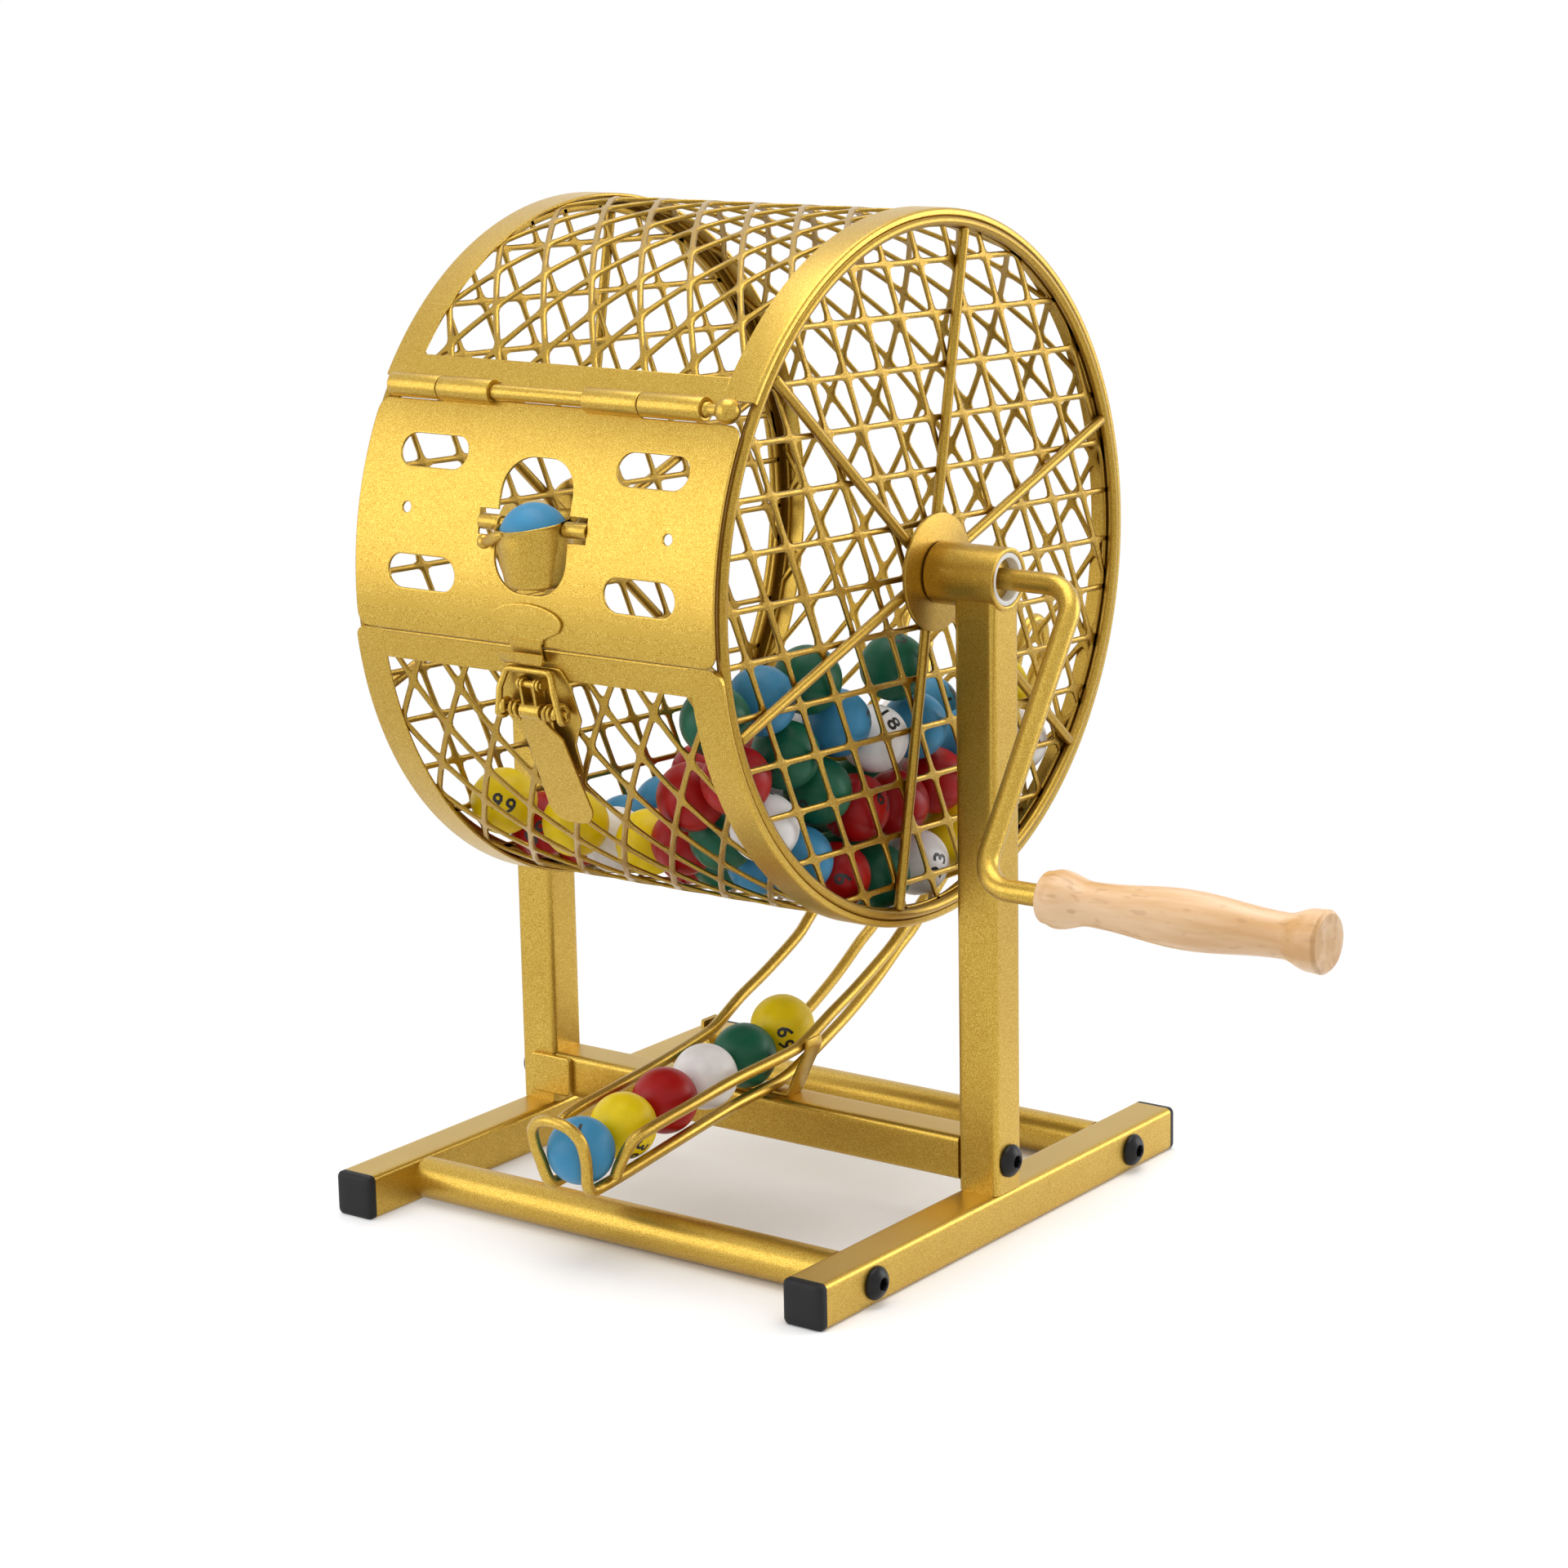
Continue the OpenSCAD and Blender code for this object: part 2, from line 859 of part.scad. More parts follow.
module hinge_pin() {
    color(gold)
        in_frame()
            at_angle(hinge_t)
                translate([0, 0, hinge_r]) {
                    union() {
                        along_x(-66, 58, hinge_pin_d);
                        along_x(57.5, 65, 3.6);
                        translate([65, 0, 0]) sphere(d = 8);
                    }
                }
}

// Door

function chord(t) = drum_r * sin(t - door_t);

cutout = concat(
    [[14.5, notch_s + 0.8], [notch_x, notch_s + 0.8], [notch_x, 0.8 - notch_s], [14.5, 0.8 - notch_s]],
    arc([3.5, chord(66.8) + 11], 11, 0, -90),
    arc([-2.5, chord(66.8) + 11], 11, -90, -180),
    [[-13.5, 0.8 - notch_s], [1 - notch_x, 0.8 - notch_s]],
    [[1 - notch_x, notch_s + 0.8], [-13.5, notch_s + 0.8]],
    arc([-2.5, chord(88) - 11], 11, 180, 90),
    arc([3.5, chord(88) - 11], 11, 90, 0)
);

module door_panel() {
    color(gold)
        in_frame()
            difference() {
                intersection() {
                    shell(sheet_in, drum_r, door_left - 1, door_right + 1, door_top - 3, door_foot + 3);
                    through_wall(
                        door_t, rounded_box(door_left, door_right, chord(door_top), chord(door_foot), 5)
                    );
                }
                for (x = [-43, 43], t = [67.3, 86.5])
                    through_wall(
                        door_t, rounded_box(x - 13.5, x + 13.5, chord(t) - 5.25, chord(t) + 5.25, 5.2)
                    );
                for (p = [[-50.5, 76.5], [52.5, 77.3]])
                    at_angle(p[1]) translate([p[0], 0, sheet_in - 2]) cylinder(h = 5, d = 3.5);
                through_wall(door_t, cutout);
                hinge_cut(door_left - 1, door_right + 1, barrel_d / 2);
                hinge_cut(door_left - 1, -46, barrel_d / 2 + body_gap);
                hinge_cut(33.5, door_right + 1, barrel_d / 2 + body_gap);
                hinge_cut(-25, 12, hinge_pin_d / 2 + body_gap);
            }
}

module latch_strike() {
    ref = 93;
    hook_from = 98;
    hook_to = 98.45;
    hook_top = 118.6;
    raised = drum_r + 0.4;
    color(gold)
        in_frame()
            union() {
                intersection() {
                    shell(drum_r, drum_r + 1, -20, 20, 86, 95.3);
                    through_wall(ref, concat(
                        [[5.7, 5], [5.7, 3.6], [12.2, 0.6]],
                        [for (a = [0:-20:-180]) [-0.5 + 14 * cos(a), -1.8 + 5.6 * sin(a)]],
                        [[-13.2, 0.6], [-6.7, 3.6], [-6.7, 5]]
                    ));
                }
                shell(raised, raised + 1, -6.5, 5.5, 94.9, hook_from + 0.2);
                difference() {
                    shell(raised + 0.3, hook_top, -8, 7, 96.4, hook_to);
                    shell(raised - 1, hook_top - 0.8, -9, 8, 96, hook_from);
                }
            }
}

module cup_frame() {
    translate([cup_x, cup_y, cup_z]) children();
}

module cup_bearings() {
    color(gold)
        in_frame()
            cup_frame()
                for (span = [[cup_r + 0.4, notch_x - cup_x], [1 - notch_x - cup_x, -cup_r - 0.4]])
                    difference() {
                        along_x(span[0], span[1], cup_tube_d);
                        along_x(span[0] - 1, span[1] + 1, cup_pin_d + 2 * pin_gap);
                    }
}

module ball_cup() {
    base = cup_rise - cup_depth;
    round_r = 2;
    lug = [-15.7 - cup_x, -5.1, -5.3];
    color(gold)
        in_frame()
            cup_frame()
                union() {
                    rotate_extrude($fn = 96)
                        polygon(concat(
                            [[0, base]],
                            arc([cup_base_r - round_r, base + round_r], round_r, -90, 0, 4),
                            [[cup_r, cup_rise], [cup_r - cup_wall, cup_rise]],
                            arc([cup_base_r - round_r, base + round_r], round_r - cup_wall, 0, -90, 4),
                            [[0, base + cup_wall]]
                        ));
                    for (side = [-1, 1])
                        sided(side) along_x(cup_r - 0.7, 18.2, cup_pin_d);
                    rod([-8.6, -8, -3], lug, 2.8);
                    translate(lug) sphere(d = 4.6);
                }
}

module cup_ball() {
    taper = (cup_r - cup_base_r) / cup_depth;
    sunk = (cup_r - cup_wall - (ball_r + 0.08) * sqrt(1 + taper * taper)) / taper;
    color(blue)
        in_frame()
            cup_frame()
                translate([0, 0, cup_rise - sunk])
                    sphere(ball_r);
}

// Latch: a lever that turns on lugs of the base, and a bail that the lever carries past its pivot

// Plates that stand along the drum, drawn in the distance along the growing angle and the radius
module latch_plates(t, spans, outline) {
    at_angle(t)
        for (x = spans)
            translate([x[0], 0, 0])
                rotate([90, 0, 90])
                    linear_extrude(x[1] - x[0])
                        polygon([for (p = outline) [-p.x, p.y]]);
}

module latch_bore(t, r, from, to, d) {
    at_angle(t) translate([0, 0, r]) along_x(latch_x + from, latch_x + to, d);
}

function plate_pair(x) = [[latch_x - x - latch_plate, latch_x - x], [latch_x + x, latch_x + x + latch_plate]];
function both_sides(half) = concat(
    [for (p = half) [latch_x + p.x, p.y]],
    [for (i = [len(half) - 1:-1:0]) [latch_x - half[i].x, half[i].y]]
);

module latch_base() {
    ref = 110;
    lug_end = lug_in + latch_plate;
    color(gold)
        in_frame()
            difference() {
                union() {
                    intersection() {
                        shell(drum_r, strap_out, -30, 30, 99, 123.5);
                        through_wall(
                            ref, both_sides([[10.5, -24], [13.5, -16.5], [15, -5], [10, 4], [9, 30]])
                        );
                    }
                    latch_plates(
                        lever_t, plate_pair(lug_in),
                        concat([[-2, drum_r + 0.4]], arc([0, lever_r], 2, 180, 0), [[2, drum_r + 0.4]])
                    );
                }
                latch_bore(lever_t, lever_r, -lug_end - 1, lug_end + 1, latch_pin_d + 2 * pin_gap);
            }
}

module latch_lever() {
    middle = 115.3;
    plate = 117;
    half_l = 22.8;
    ear_end = ear_in + latch_plate;
    barrel = 5.2;
    end_r = 6.5;
    mid_x = latch_x + 1;
    neck = [[ear_end, 3 - half_l], [ear_end, 7 - half_l]];
    color(gold)
        in_frame()
            difference() {
                union() {
                    at_angle(middle)
                        translate([0, 0, plate])
                            linear_extrude(latch_plate)
                                polygon([for (p = concat(
                                    [for (q = neck) [latch_x + q.x, q.y]], [[mid_x + 7.3, 12.5 - half_l]],
                                    arc([mid_x + 8.5 - end_r, half_l - end_r], end_r, 0, 90),
                                    arc([mid_x - 8.5 + end_r, half_l - end_r], end_r, 90, 180),
                                    [[mid_x - 7.3, 12.5 - half_l]],
                                    [for (i = [1, 0]) [latch_x - neck[i].x, neck[i].y]]
                                )) [p.x, -p.y]]);
                    latch_bore(bail_t, bail_r, -ear_end, ear_end, barrel);
                    latch_plates(
                        lever_t, plate_pair(ear_in),
                        concat(arc([0, lever_r], 2, 90, 270), [[8.5, 116], [8.5, 120.4]])
                    );
                }
                latch_bore(lever_t, lever_r, -ear_end - 1, ear_end + 1, latch_pin_d);
                latch_bore(bail_t, bail_r, -ear_end - 1, ear_end + 1, latch_pin_d);
            }
}

module latch_pins() {
    color(gold)
        in_frame() {
            latch_bore(lever_t, lever_r, -lug_in - 1.5, lug_in + 1.5, latch_pin_d);
            latch_bore(bail_t, bail_r, -bail_eye_x - 1.4, bail_eye_x + 1.4, latch_pin_d);
        }
}

// Turns of wire round the bail's pin, whose first or last point lies outermost
function coil(from, to, r, turns, way, start = 0) =
    [for (i = [0:coil_points * turns])
        let (a = start + way * 360 * i / coil_points)
        polar(bail_t, bail_r, latch_x + from + (to - from) * i / (coil_points * turns))
            + r * (outward(bail_t) * cos(a) + along(bail_t) * sin(a))];

// Right half of the bail, from the middle of its bar to the foot of its leg
bail_half = [
    polar(bar_t, bar_r, 3), polar(bar_t + 0.05, bar_r, 4.6), polar(bar_t + 0.3, bar_r + 0.05, 5.9),
    polar(bar_t + 0.9, bar_r + 0.3, 6.8), polar(102.6, 119.3, 9.6)
];
bail_path = concat(
    coil(bail_eye_l - bail_eye_x, -bail_eye_x, bail_eye_r, 1, -1),
    [for (i = [len(bail_half) - 1:-1:0]) [2 * latch_x - bail_half[i].x - 2, bail_half[i].y, bail_half[i].z]],
    bail_half,
    coil(bail_eye_x, bail_eye_x - bail_eye_l, bail_eye_r, 1, 1)
);
spring_l = spring_pitch * spring_turns;
spring_path = concat(
    [polar(bail_t + 1.7, bail_r - 1.9, latch_x + spring_x)],
    coil(spring_x, spring_x + spring_l, spring_r, spring_turns, -1, 180),
    [polar(bail_t + 1.7, bail_r - 1.9, latch_x + spring_x + spring_l)]
);
// Least free distance of a wire to itself, between points that are more than half a turn apart along it
function least_gap(p, r) = min([
    for (i = [0:len(p) - 1]) for (j = [i + 6:1:len(p) - 1]) norm(p[i] - p[j]) - 2 * r
]);
echo(bail_gap = least_gap(bail_path, bail_wire_r), spring_gap = least_gap(spring_path, spring_wire_r));

module latch_springs() {
    color(gold)
        in_frame() {
            wire(spring_path, spring_wire_r, 6);
            wire([for (p = spring_path) [2 * latch_x - p.x, p.y, p.z]], spring_wire_r, 6);
        }
}

module latch_bail() {
    color(gold) in_frame() wire(bail_path, bail_wire_r, 6);
}

// Balls in the drum, by rows: column along the axle, layer counted from the wall inwards, place of the
// row's first ball, and one letter a ball for its colour, from front to back

layer_step = 22.6;
column_step = 22.5;
pile_rows = [
    [0, 0, -3, "yrrbbrg"],
    [1, 0, -3, "ywrgbyb"],
    [2, 0, -2, "yrwbry"],
    [3, 0, -3, "rgwybyw"],
    [3, 1, 0, "yw"],
    [4, 0, -4, "rgbwgywy"],
    [4, 1, -3, "rwggwb"],
    [4, 2, -1, "wy"],
    [5, 0, -6, "grwbrgwygw"],
    [5, 1, -4, "bggrrrby"],
    [5, 2, -3, "gbwb"],
    [5, 3, 0, "g"]
];
function layer_r(l) = mesh_in - ball_r - 0.7 - l * layer_step;
function ball_step(l) = 2 * asin((ball_r + 0.3) / layer_r(l));
function ball_place(c, l, i) =
    let (t = 180 + (i + (c + l) % 2 / 2) * ball_step(l), r = layer_r(l))
        [(c - 2.5) * column_step, -r * sin(t), axle_z + r * cos(t)];

module drum_balls(letter) {
    for (row = pile_rows) for (k = [0:len(row[3]) - 1])
        if (row[3][k] == letter)
            translate(ball_place(row[0], row[1], row[2] + k))
                sphere(ball_r);
}

module blue_drum_balls() {
    color(blue) in_frame() drum_balls("b");
}

module yellow_drum_balls() {
    color(yellow) in_frame() drum_balls("y");
}

module red_drum_balls() {
    color(red) in_frame() drum_balls("r");
}

module white_drum_balls() {
    color(white) in_frame() drum_balls("w");
}

module green_drum_balls() {
    color(green) in_frame() drum_balls("g");
}

left_rail();
right_rail();
end_caps();
front_cross_tube();
rear_cross_tube();
centre_crossbar();
tube_inserts();
foot_plate();
left_upright();
right_upright();
left_bearing_tube();
right_bearing_tube();
left_bush();
right_bush();
base_bolts();
left_chute_wire();
right_chute_wire();
ball_stop();
chute_cradle();
blue_tray_ball();
yellow_tray_balls();
red_tray_ball();
white_tray_ball();
green_tray_ball();
left_band();
right_band();
upper_crossbar();
lower_crossbar();
wall_mesh();
left_end_mesh();
right_end_mesh();
left_rim_ring();
right_rim_ring();
left_spokes();
right_spokes();
left_hub_disc();
right_hub_disc();
left_axle();
right_axle();
crank_rod();
frame_hinge_barrels();
hinge_pin();
latch_base();
blue_drum_balls();
yellow_drum_balls();
red_drum_balls();
white_drum_balls();
green_drum_balls();
wooden_grip();
door_panel();
door_hinge_barrels();
latch_strike();
cup_bearings();
ball_cup();
cup_ball();
latch_lever();
latch_pins();
latch_springs();
latch_bail();
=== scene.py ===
"""Looks of the raffle drum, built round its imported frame.

Every shape is worked out in millimetres in the stand's own frame: X = 0 midway between the floor
rails, Y = 0 under the axle, Z = 0 on the floor. A finished mesh is then put into the row frame, in
metres. Angles round the drum start at its top and grow towards its front.
"""

import logging
import math
import random
from dataclasses import dataclass, field
from enum import Enum
from typing import Any, Callable, Iterable, Sequence

import bmesh
import bpy
from mathutils import Euler, Matrix, Vector, geometry


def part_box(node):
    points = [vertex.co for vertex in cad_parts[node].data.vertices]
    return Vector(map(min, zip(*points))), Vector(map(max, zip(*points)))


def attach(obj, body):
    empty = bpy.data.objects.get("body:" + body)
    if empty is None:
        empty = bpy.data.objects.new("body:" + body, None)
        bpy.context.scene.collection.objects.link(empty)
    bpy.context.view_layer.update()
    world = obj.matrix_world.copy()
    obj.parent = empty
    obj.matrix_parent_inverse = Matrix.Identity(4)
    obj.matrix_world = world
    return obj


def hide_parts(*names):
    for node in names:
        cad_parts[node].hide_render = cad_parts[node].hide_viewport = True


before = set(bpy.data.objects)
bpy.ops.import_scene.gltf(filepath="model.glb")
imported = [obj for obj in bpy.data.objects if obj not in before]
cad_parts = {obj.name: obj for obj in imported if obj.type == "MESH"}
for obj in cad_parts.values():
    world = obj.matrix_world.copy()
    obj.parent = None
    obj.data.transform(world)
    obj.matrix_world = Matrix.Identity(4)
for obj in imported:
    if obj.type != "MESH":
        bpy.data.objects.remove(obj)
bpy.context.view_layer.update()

log = logging.getLogger("raffle_drum")

Flat = tuple[float, float]
Spot = tuple[float, float, float]
Colour = tuple[float, float, float]
Lift = Callable[[float, float, float], Vector]

# Shared sizes: the axle's height, the drum's radius, the length of one degree of its wall, and the latch's X
AXLE_Z = 217.0
DRUM_R = 114.3
DEGREE = math.radians(1) * DRUM_R
LATCH_X = 1.0

SIDES = ((-1, "left"), (1, "right"))
MM_IN_METRE = 1000
BLACK: Colour = (0.0, 0.0, 0.0)
WHITE: Colour = (1.0, 1.0, 1.0)


def stand_origin() -> Vector:
    """Returns where the stand's own frame starts in the row frame, in metres, from the two floor rails."""
    left_low, left_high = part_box("left_rail")
    right_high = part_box("right_rail")[1]
    return Vector(((left_low.x + right_high.x) / 2, (left_low.y + left_high.y) / 2, 0.0))


def polar(t: float, r: float, x: float = 0.0) -> Vector:
    """Returns the point at angle t in degrees, radius r and x of the drum."""
    a = math.radians(t)
    return Vector((x, -r * math.sin(a), AXLE_Z + r * math.cos(a)))


def on_axle(side: int = 1) -> Matrix:
    """Returns the place, on one side of the drum, of what is drawn round the X axis for its right side."""
    return Matrix.Translation((0, 0, AXLE_Z)) @ Matrix.Diagonal((side, 1, 1, 1))


def mirrored(points: Iterable[Vector], middle: float = 0.0) -> list[Vector]:
    """Returns points mirrored across X = middle."""
    return [Vector((2 * middle - p.x, p.y, p.z)) for p in points]


def arc(centre: Flat, r: float, start: float, end: float, steps: int = 6) -> list[Flat]:
    """Returns points of a flat arc, its ends among them."""
    turns = [math.radians(start + (end - start) * i / steps) for i in range(steps + 1)]
    return [(centre[0] + r * math.cos(a), centre[1] + r * math.sin(a)) for a in turns]


def rounded_box(a0: float, a1: float, b0: float, b1: float, r: float, steps: int = 6) -> list[Flat]:
    """Returns a rectangle with round corners, counter-clockwise."""
    return (
        arc((a1 - r, b0 + r), r, -90, 0, steps)
        + arc((a1 - r, b1 - r), r, 0, 90, steps)
        + arc((a0 + r, b1 - r), r, 90, 180, steps)
        + arc((a0 + r, b0 + r), r, 180, 270, steps)
    )


def smooth(points: Sequence[Vector], steps: int) -> list[Vector]:
    """Returns a Catmull-Rom curve through points.

    Args:
        points: the points that it passes.
        steps: how many points it gets from one of them to the next.

    Returns:
        The curve's points, the given ones among them.
    """
    last = len(points) - 1
    out = []
    for i in range(last):
        a, b, c, d = (points[min(max(k, 0), last)] for k in range(i - 1, i + 3))
        for j in range(steps):
            u = j / steps
            out.append(
                0.5 * (2 * b + (c - a) * u + (2 * a - 5 * b + 4 * c - d) * u * u
                       + (3 * b - a - 3 * c + d) * u**3)
            )
    return out + [Vector(points[-1])]


def softened(points: Sequence[Flat], r: float, steps: int = 4) -> list[Flat]:
    """Returns a flat closed outline with each corner rounded to about radius r."""
    out: list[Flat] = []
    n = len(points)
    for i in range(n):
        p = Vector(points[i])
        before, after = Vector(points[i - 1]) - p, Vector(points[(i + 1) % n]) - p
        half = before.angle(after) / 2
        cut = min(r / max(math.tan(half), 0.05), before.length * 0.45, after.length * 0.45)
        a, b = p + before.normalized() * cut, p + after.normalized() * cut
        for j in range(steps + 1):
            u = j / steps
            q = a * (1 - u) ** 2 + p * 2 * u * (1 - u) + b * u**2
            out.append((q.x, q.y))
    return out


class Shape:
    """A mesh in the making: points in millimetres and faces."""

    # How a sweep's round end closes: share of the radius left, and share of it gone outwards
    END_RINGS = ((0.93, 0.2), (0.7, 0.38), (0.35, 0.46))
    # Width of the flat ring inside a plate's rounded edge, which keeps its face evenly shaded
    FLAT_RING = 0.25
    # How far inside a plate's outline the middle of its rounded edge lies, as a share of the radius
    EDGE_MIDDLE = 0.293

    def __init__(self) -> None:
        """Starts an empty shape."""
        self.points: list[Vector] = []
        self.faces: list[tuple[int, ...]] = []

    def add(self, points: Iterable[Vector], faces: Iterable[Sequence[int]]) -> "Shape":
        """Adds points and the faces that index them."""
        start = len(self.points)
        self.points.extend(Vector(p) for p in points)
        self.faces.extend(tuple(start + i for i in f) for f in faces)
        return self

    def mirrored(self) -> "Shape":
        """Returns the shape mirrored across X = 0."""
        return Shape().add(mirrored(self.points), [f[::-1] for f in self.faces])

    def strip(self, rings: Sequence[Sequence[Vector]], loop: bool = False, caps: bool = True) -> "Shape":
        """Joins closed rings of equal length by quads.

        Args:
            rings: the rings, in order.
            loop: whether the last ring joins the first.
            caps: whether the two ends get a face, where there is no loop.

        Returns:
            The shape itself.
        """
        n, m = len(rings[0]), len(rings)
        quads = [
            (i * n + k, i * n + (k + 1) % n, (i + 1) % m * n + (k + 1) % n, (i + 1) % m * n + k)
            for i in range(m if loop else m - 1)
            for k in range(n)
        ]
        ends = []
        if caps and not loop:
            ends = [tuple(reversed(range(n))), tuple((m - 1) * n + k for k in range(n))]
        return self.add([p for ring in rings for p in ring], quads + ends)

    def sweep(self, path: Sequence[Vector], r: float | Sequence[float], sides: int) -> "Shape":
        """Sweeps a round section along points, with rounded ends.

        Args:
            path: the middle of the section.
            r: its radius, or one radius for each point.
            sides: how many sides it has.

        Returns:
            The shape itself.
        """
        n = len(path)
        radii = [r] * n if isinstance(r, float) else list(r)
        ways = [(path[min(i + 1, n - 1)] - path[max(i - 1, 0)]).normalized() for i in range(n)]
        side = ways[0].orthogonal().normalized()
        rings = []
        for i in range(n):
            if i:
                side = ways[i - 1].rotation_difference(ways[i]) @ side
            side = (side - ways[i] * side.dot(ways[i])).normalized()
            other = ways[i].cross(side)
            turns = [2 * math.pi * k / sides for k in range(sides)]
            rings.append([path[i] + (side * math.cos(a) + other * math.sin(a)) * radii[i] for a in turns])
        for end, out in ((0, -ways[0]), (-1, ways[-1])):
            middle = path[end]
            cap = [
                [middle + (p - middle) * k + out * radii[end] * h for p in rings[end]]
                for k, h in self.END_RINGS
            ]
            rings = cap[::-1] + rings if end == 0 else rings + cap
        return self.strip(rings)

    def lathe(
        self, profile: Sequence[Flat], closed: bool = True, turns: int = 64, place: Matrix | None = None
    ) -> "Shape":
        """Turns a profile round the X axis.

        Args:
            profile: points of x and radius.
            closed: whether the profile's last point joins its first.
            turns: how many copies of the profile go round.
            place: where the turned shape goes.

        Returns:
            The shape itself.
        """
        rows = []
        for i in range(turns):
            a = 2 * math.pi * i / turns
            row = [Vector((x, r * math.sin(a), r * math.cos(a))) for x, r in profile]
            rows.append([place @ p for p in row] if place else row)
        n, m = len(profile), turns
        faces = [
            (i * n + k, (i + 1) % m * n + k, (i + 1) % m * n + (k + 1) % n, i * n + (k + 1) % n)
            for i in range(m)
            for k in range(n if closed else n - 1)
        ]
        return self.add([p for row in rows for p in row], faces)

    def plate(
        self, outlines: Sequence[Sequence[Flat]], low: float, high: float, lift: Lift, edge: float = 0.25,
        grid: float = 0.0,
    ) -> "Shape":
        """Builds sheet metal with holes and rounded edges.

        Args:
            outlines: the outer outline first, then the holes, in any direction.
            low: height of its back.
            high: height of its face.
            lift: turns two flat coordinates and a height into a point.
            edge: radius of its edges.
            grid: spacing of extra points inside, for a sheet that is bent.

        Returns:
            The shape itself.
        """
        loops = []
        for k, outline in enumerate(outlines):
            area = sum(outline[i - 1][0] * p[1] - p[0] * outline[i - 1][1] for i, p in enumerate(outline))
            loops.append(list(outline) if (area > 0) == (k == 0) else list(outline)[::-1])
        rim = edge + self.FLAT_RING
        inner = [inset(loop, rim) for loop in loops]
        flat = [p for loop in inner for p in loop]
        edges, start = [], 0
        for loop in inner:
            n = len(loop)
            edges += [(start + i, start + (i + 1) % n) for i in range(n)]
            start += n
        extra = grid_points(inner, grid) if grid else []
        found = geometry.delaunay_2d_cdt([Vector(p) for p in flat + extra], edges, [], 0, 1e-6)
        points, triangles = found[0], found[2]
        keep = [t for t in triangles if inside(sum((points[i] for i in t), Vector((0, 0))) / 3, inner)]
        for h, turned in ((high, False), (low, True)):
            self.add([lift(p.x, p.y, h) for p in points], [t[::-1] if turned else t for t in keep])
        c = edge * self.EDGE_MIDDLE
        steps = (
            (rim, high), (edge, high), (c, high - c), (0.0, high - edge),
            (0.0, low + edge), (c, low + c), (edge, low), (rim, low),
        )
        for loop in loops:
            rows = [[lift(p[0], p[1], h) for p in inset(loop, d)] for d, h in steps]
            self.strip(rows, caps=False)
        return self

    def ribbon(self, path: Sequence[Vector], half: Sequence[float], thick: float) -> "Shape":
        """Bends a flat strip along a path in the plane of the latch.

        Args:
            path: the middle of the strip.
            half: half its width at each point, along X.
            thick: its thickness.

        Returns:
            The shape itself.
        """
        n = len(path)
        rings = []
        for i, p in enumerate(path):
            way = (path[min(i + 1, n - 1)] - path[max(i - 1, 0)]).normalized()
            up = Vector((1, 0, 0)).cross(way).normalized()
            section = rounded_box(-half[i], half[i], -thick / 2, thick / 2, thick * 0.3, 2)
            rings.append([p + Vector((a, 0, 0)) + up * b for a, b in section])
        return self.strip(rings)

    def mesh(self, name: str) -> bpy.types.Mesh:
        """Returns a clean mesh, still in millimetres, with doubles merged and faces pointing outwards."""
        mesh = bpy.data.meshes.new(name)
        mesh.from_pydata([tuple(p) for p in self.points], [], self.faces)
        work = bmesh.new()
        work.from_mesh(mesh)
        bmesh.ops.remove_doubles(work, verts=work.verts, dist=0.002)
        bmesh.ops.dissolve_degenerate(work, edges=work.edges, dist=0.0005)
        bmesh.ops.recalc_face_normals(work, faces=work.faces)
        work.to_mesh(mesh)
        work.free()
        return mesh


def inset(loop: Sequence[Flat], d: float) -> list[Flat]:
    """Returns a loop moved by d towards its left."""
    out = []
    n = len(loop)
    for i in range(n):
        a, b = Vector(loop[i]) - Vector(loop[i - 1]), Vector(loop[(i + 1) % n]) - Vector(loop[i])
        na, nb = Vector((-a.y, a.x)).normalized(), Vector((-b.y, b.x)).normalized()
        m = na + nb
        m = m / max(m.length_squared / 2, 0.3)
        out.append((loop[i][0] + m.x * d, loop[i][1] + m.y * d))
    return out


def inside(p: Vector, loops: Sequence[Sequence[Flat]]) -> bool:
    """Tells whether a flat point lies in the sheet and not in a hole."""
    odd = False
    for loop in loops:
        for i, (bx, by) in enumerate(loop):
            ax, ay = loop[i - 1]
            if (ay > p.y) != (by > p.y) and p.x < (bx - ax) * (p.y - ay) / (by - ay) + ax:
                odd = not odd
    return odd


def grid_points(loops: Sequence[Sequence[Flat]], step: float) -> list[Flat]:
    """Returns points of a square grid that lie in the sheet, clear of its edges."""
    xs, ys = [p[0] for p in loops[0]], [p[1] for p in loops[0]]
    out = []
    for i in range(1, int((max(xs) - min(xs)) / step) + 1):
        for j in range(1, int((max(ys) - min(ys)) / step) + 1):
            p = Vector((min(xs) + i * step, min(ys) + j * step))
            near = min((p - Vector(q)).length for loop in loops for q in loop)
            if near > step * 0.4 and inside(p, loops):
                out.append((p.x, p.y))
    return out


def joined(mesh: bpy.types.Mesh, shape: Shape) -> bpy.types.Mesh:
    """Returns a mesh with a shape added to it."""
    extra = shape.mesh("extra")
    work = bmesh.new()
    work.from_mesh(mesh)
    work.from_mesh(extra)
    bmesh.ops.recalc_face_normals(work, faces=work.faces)
    work.to_mesh(mesh)
    work.free()
    bpy.data.meshes.remove(extra)
    return mesh


def unrolled(r: float, start: float = 0.0, way: int = 1) -> Lift:
    """Returns a lift onto the drum, from x, length round its wall and height over a radius.

    Args:
        r: the radius.
        start: the angle at which lengths start.
        way: 1 if lengths grow with the angle, or -1.

    Returns:
        The lift.
    """
    return lambda x, s, h: polar(start + way * s / DEGREE, r + h, x)


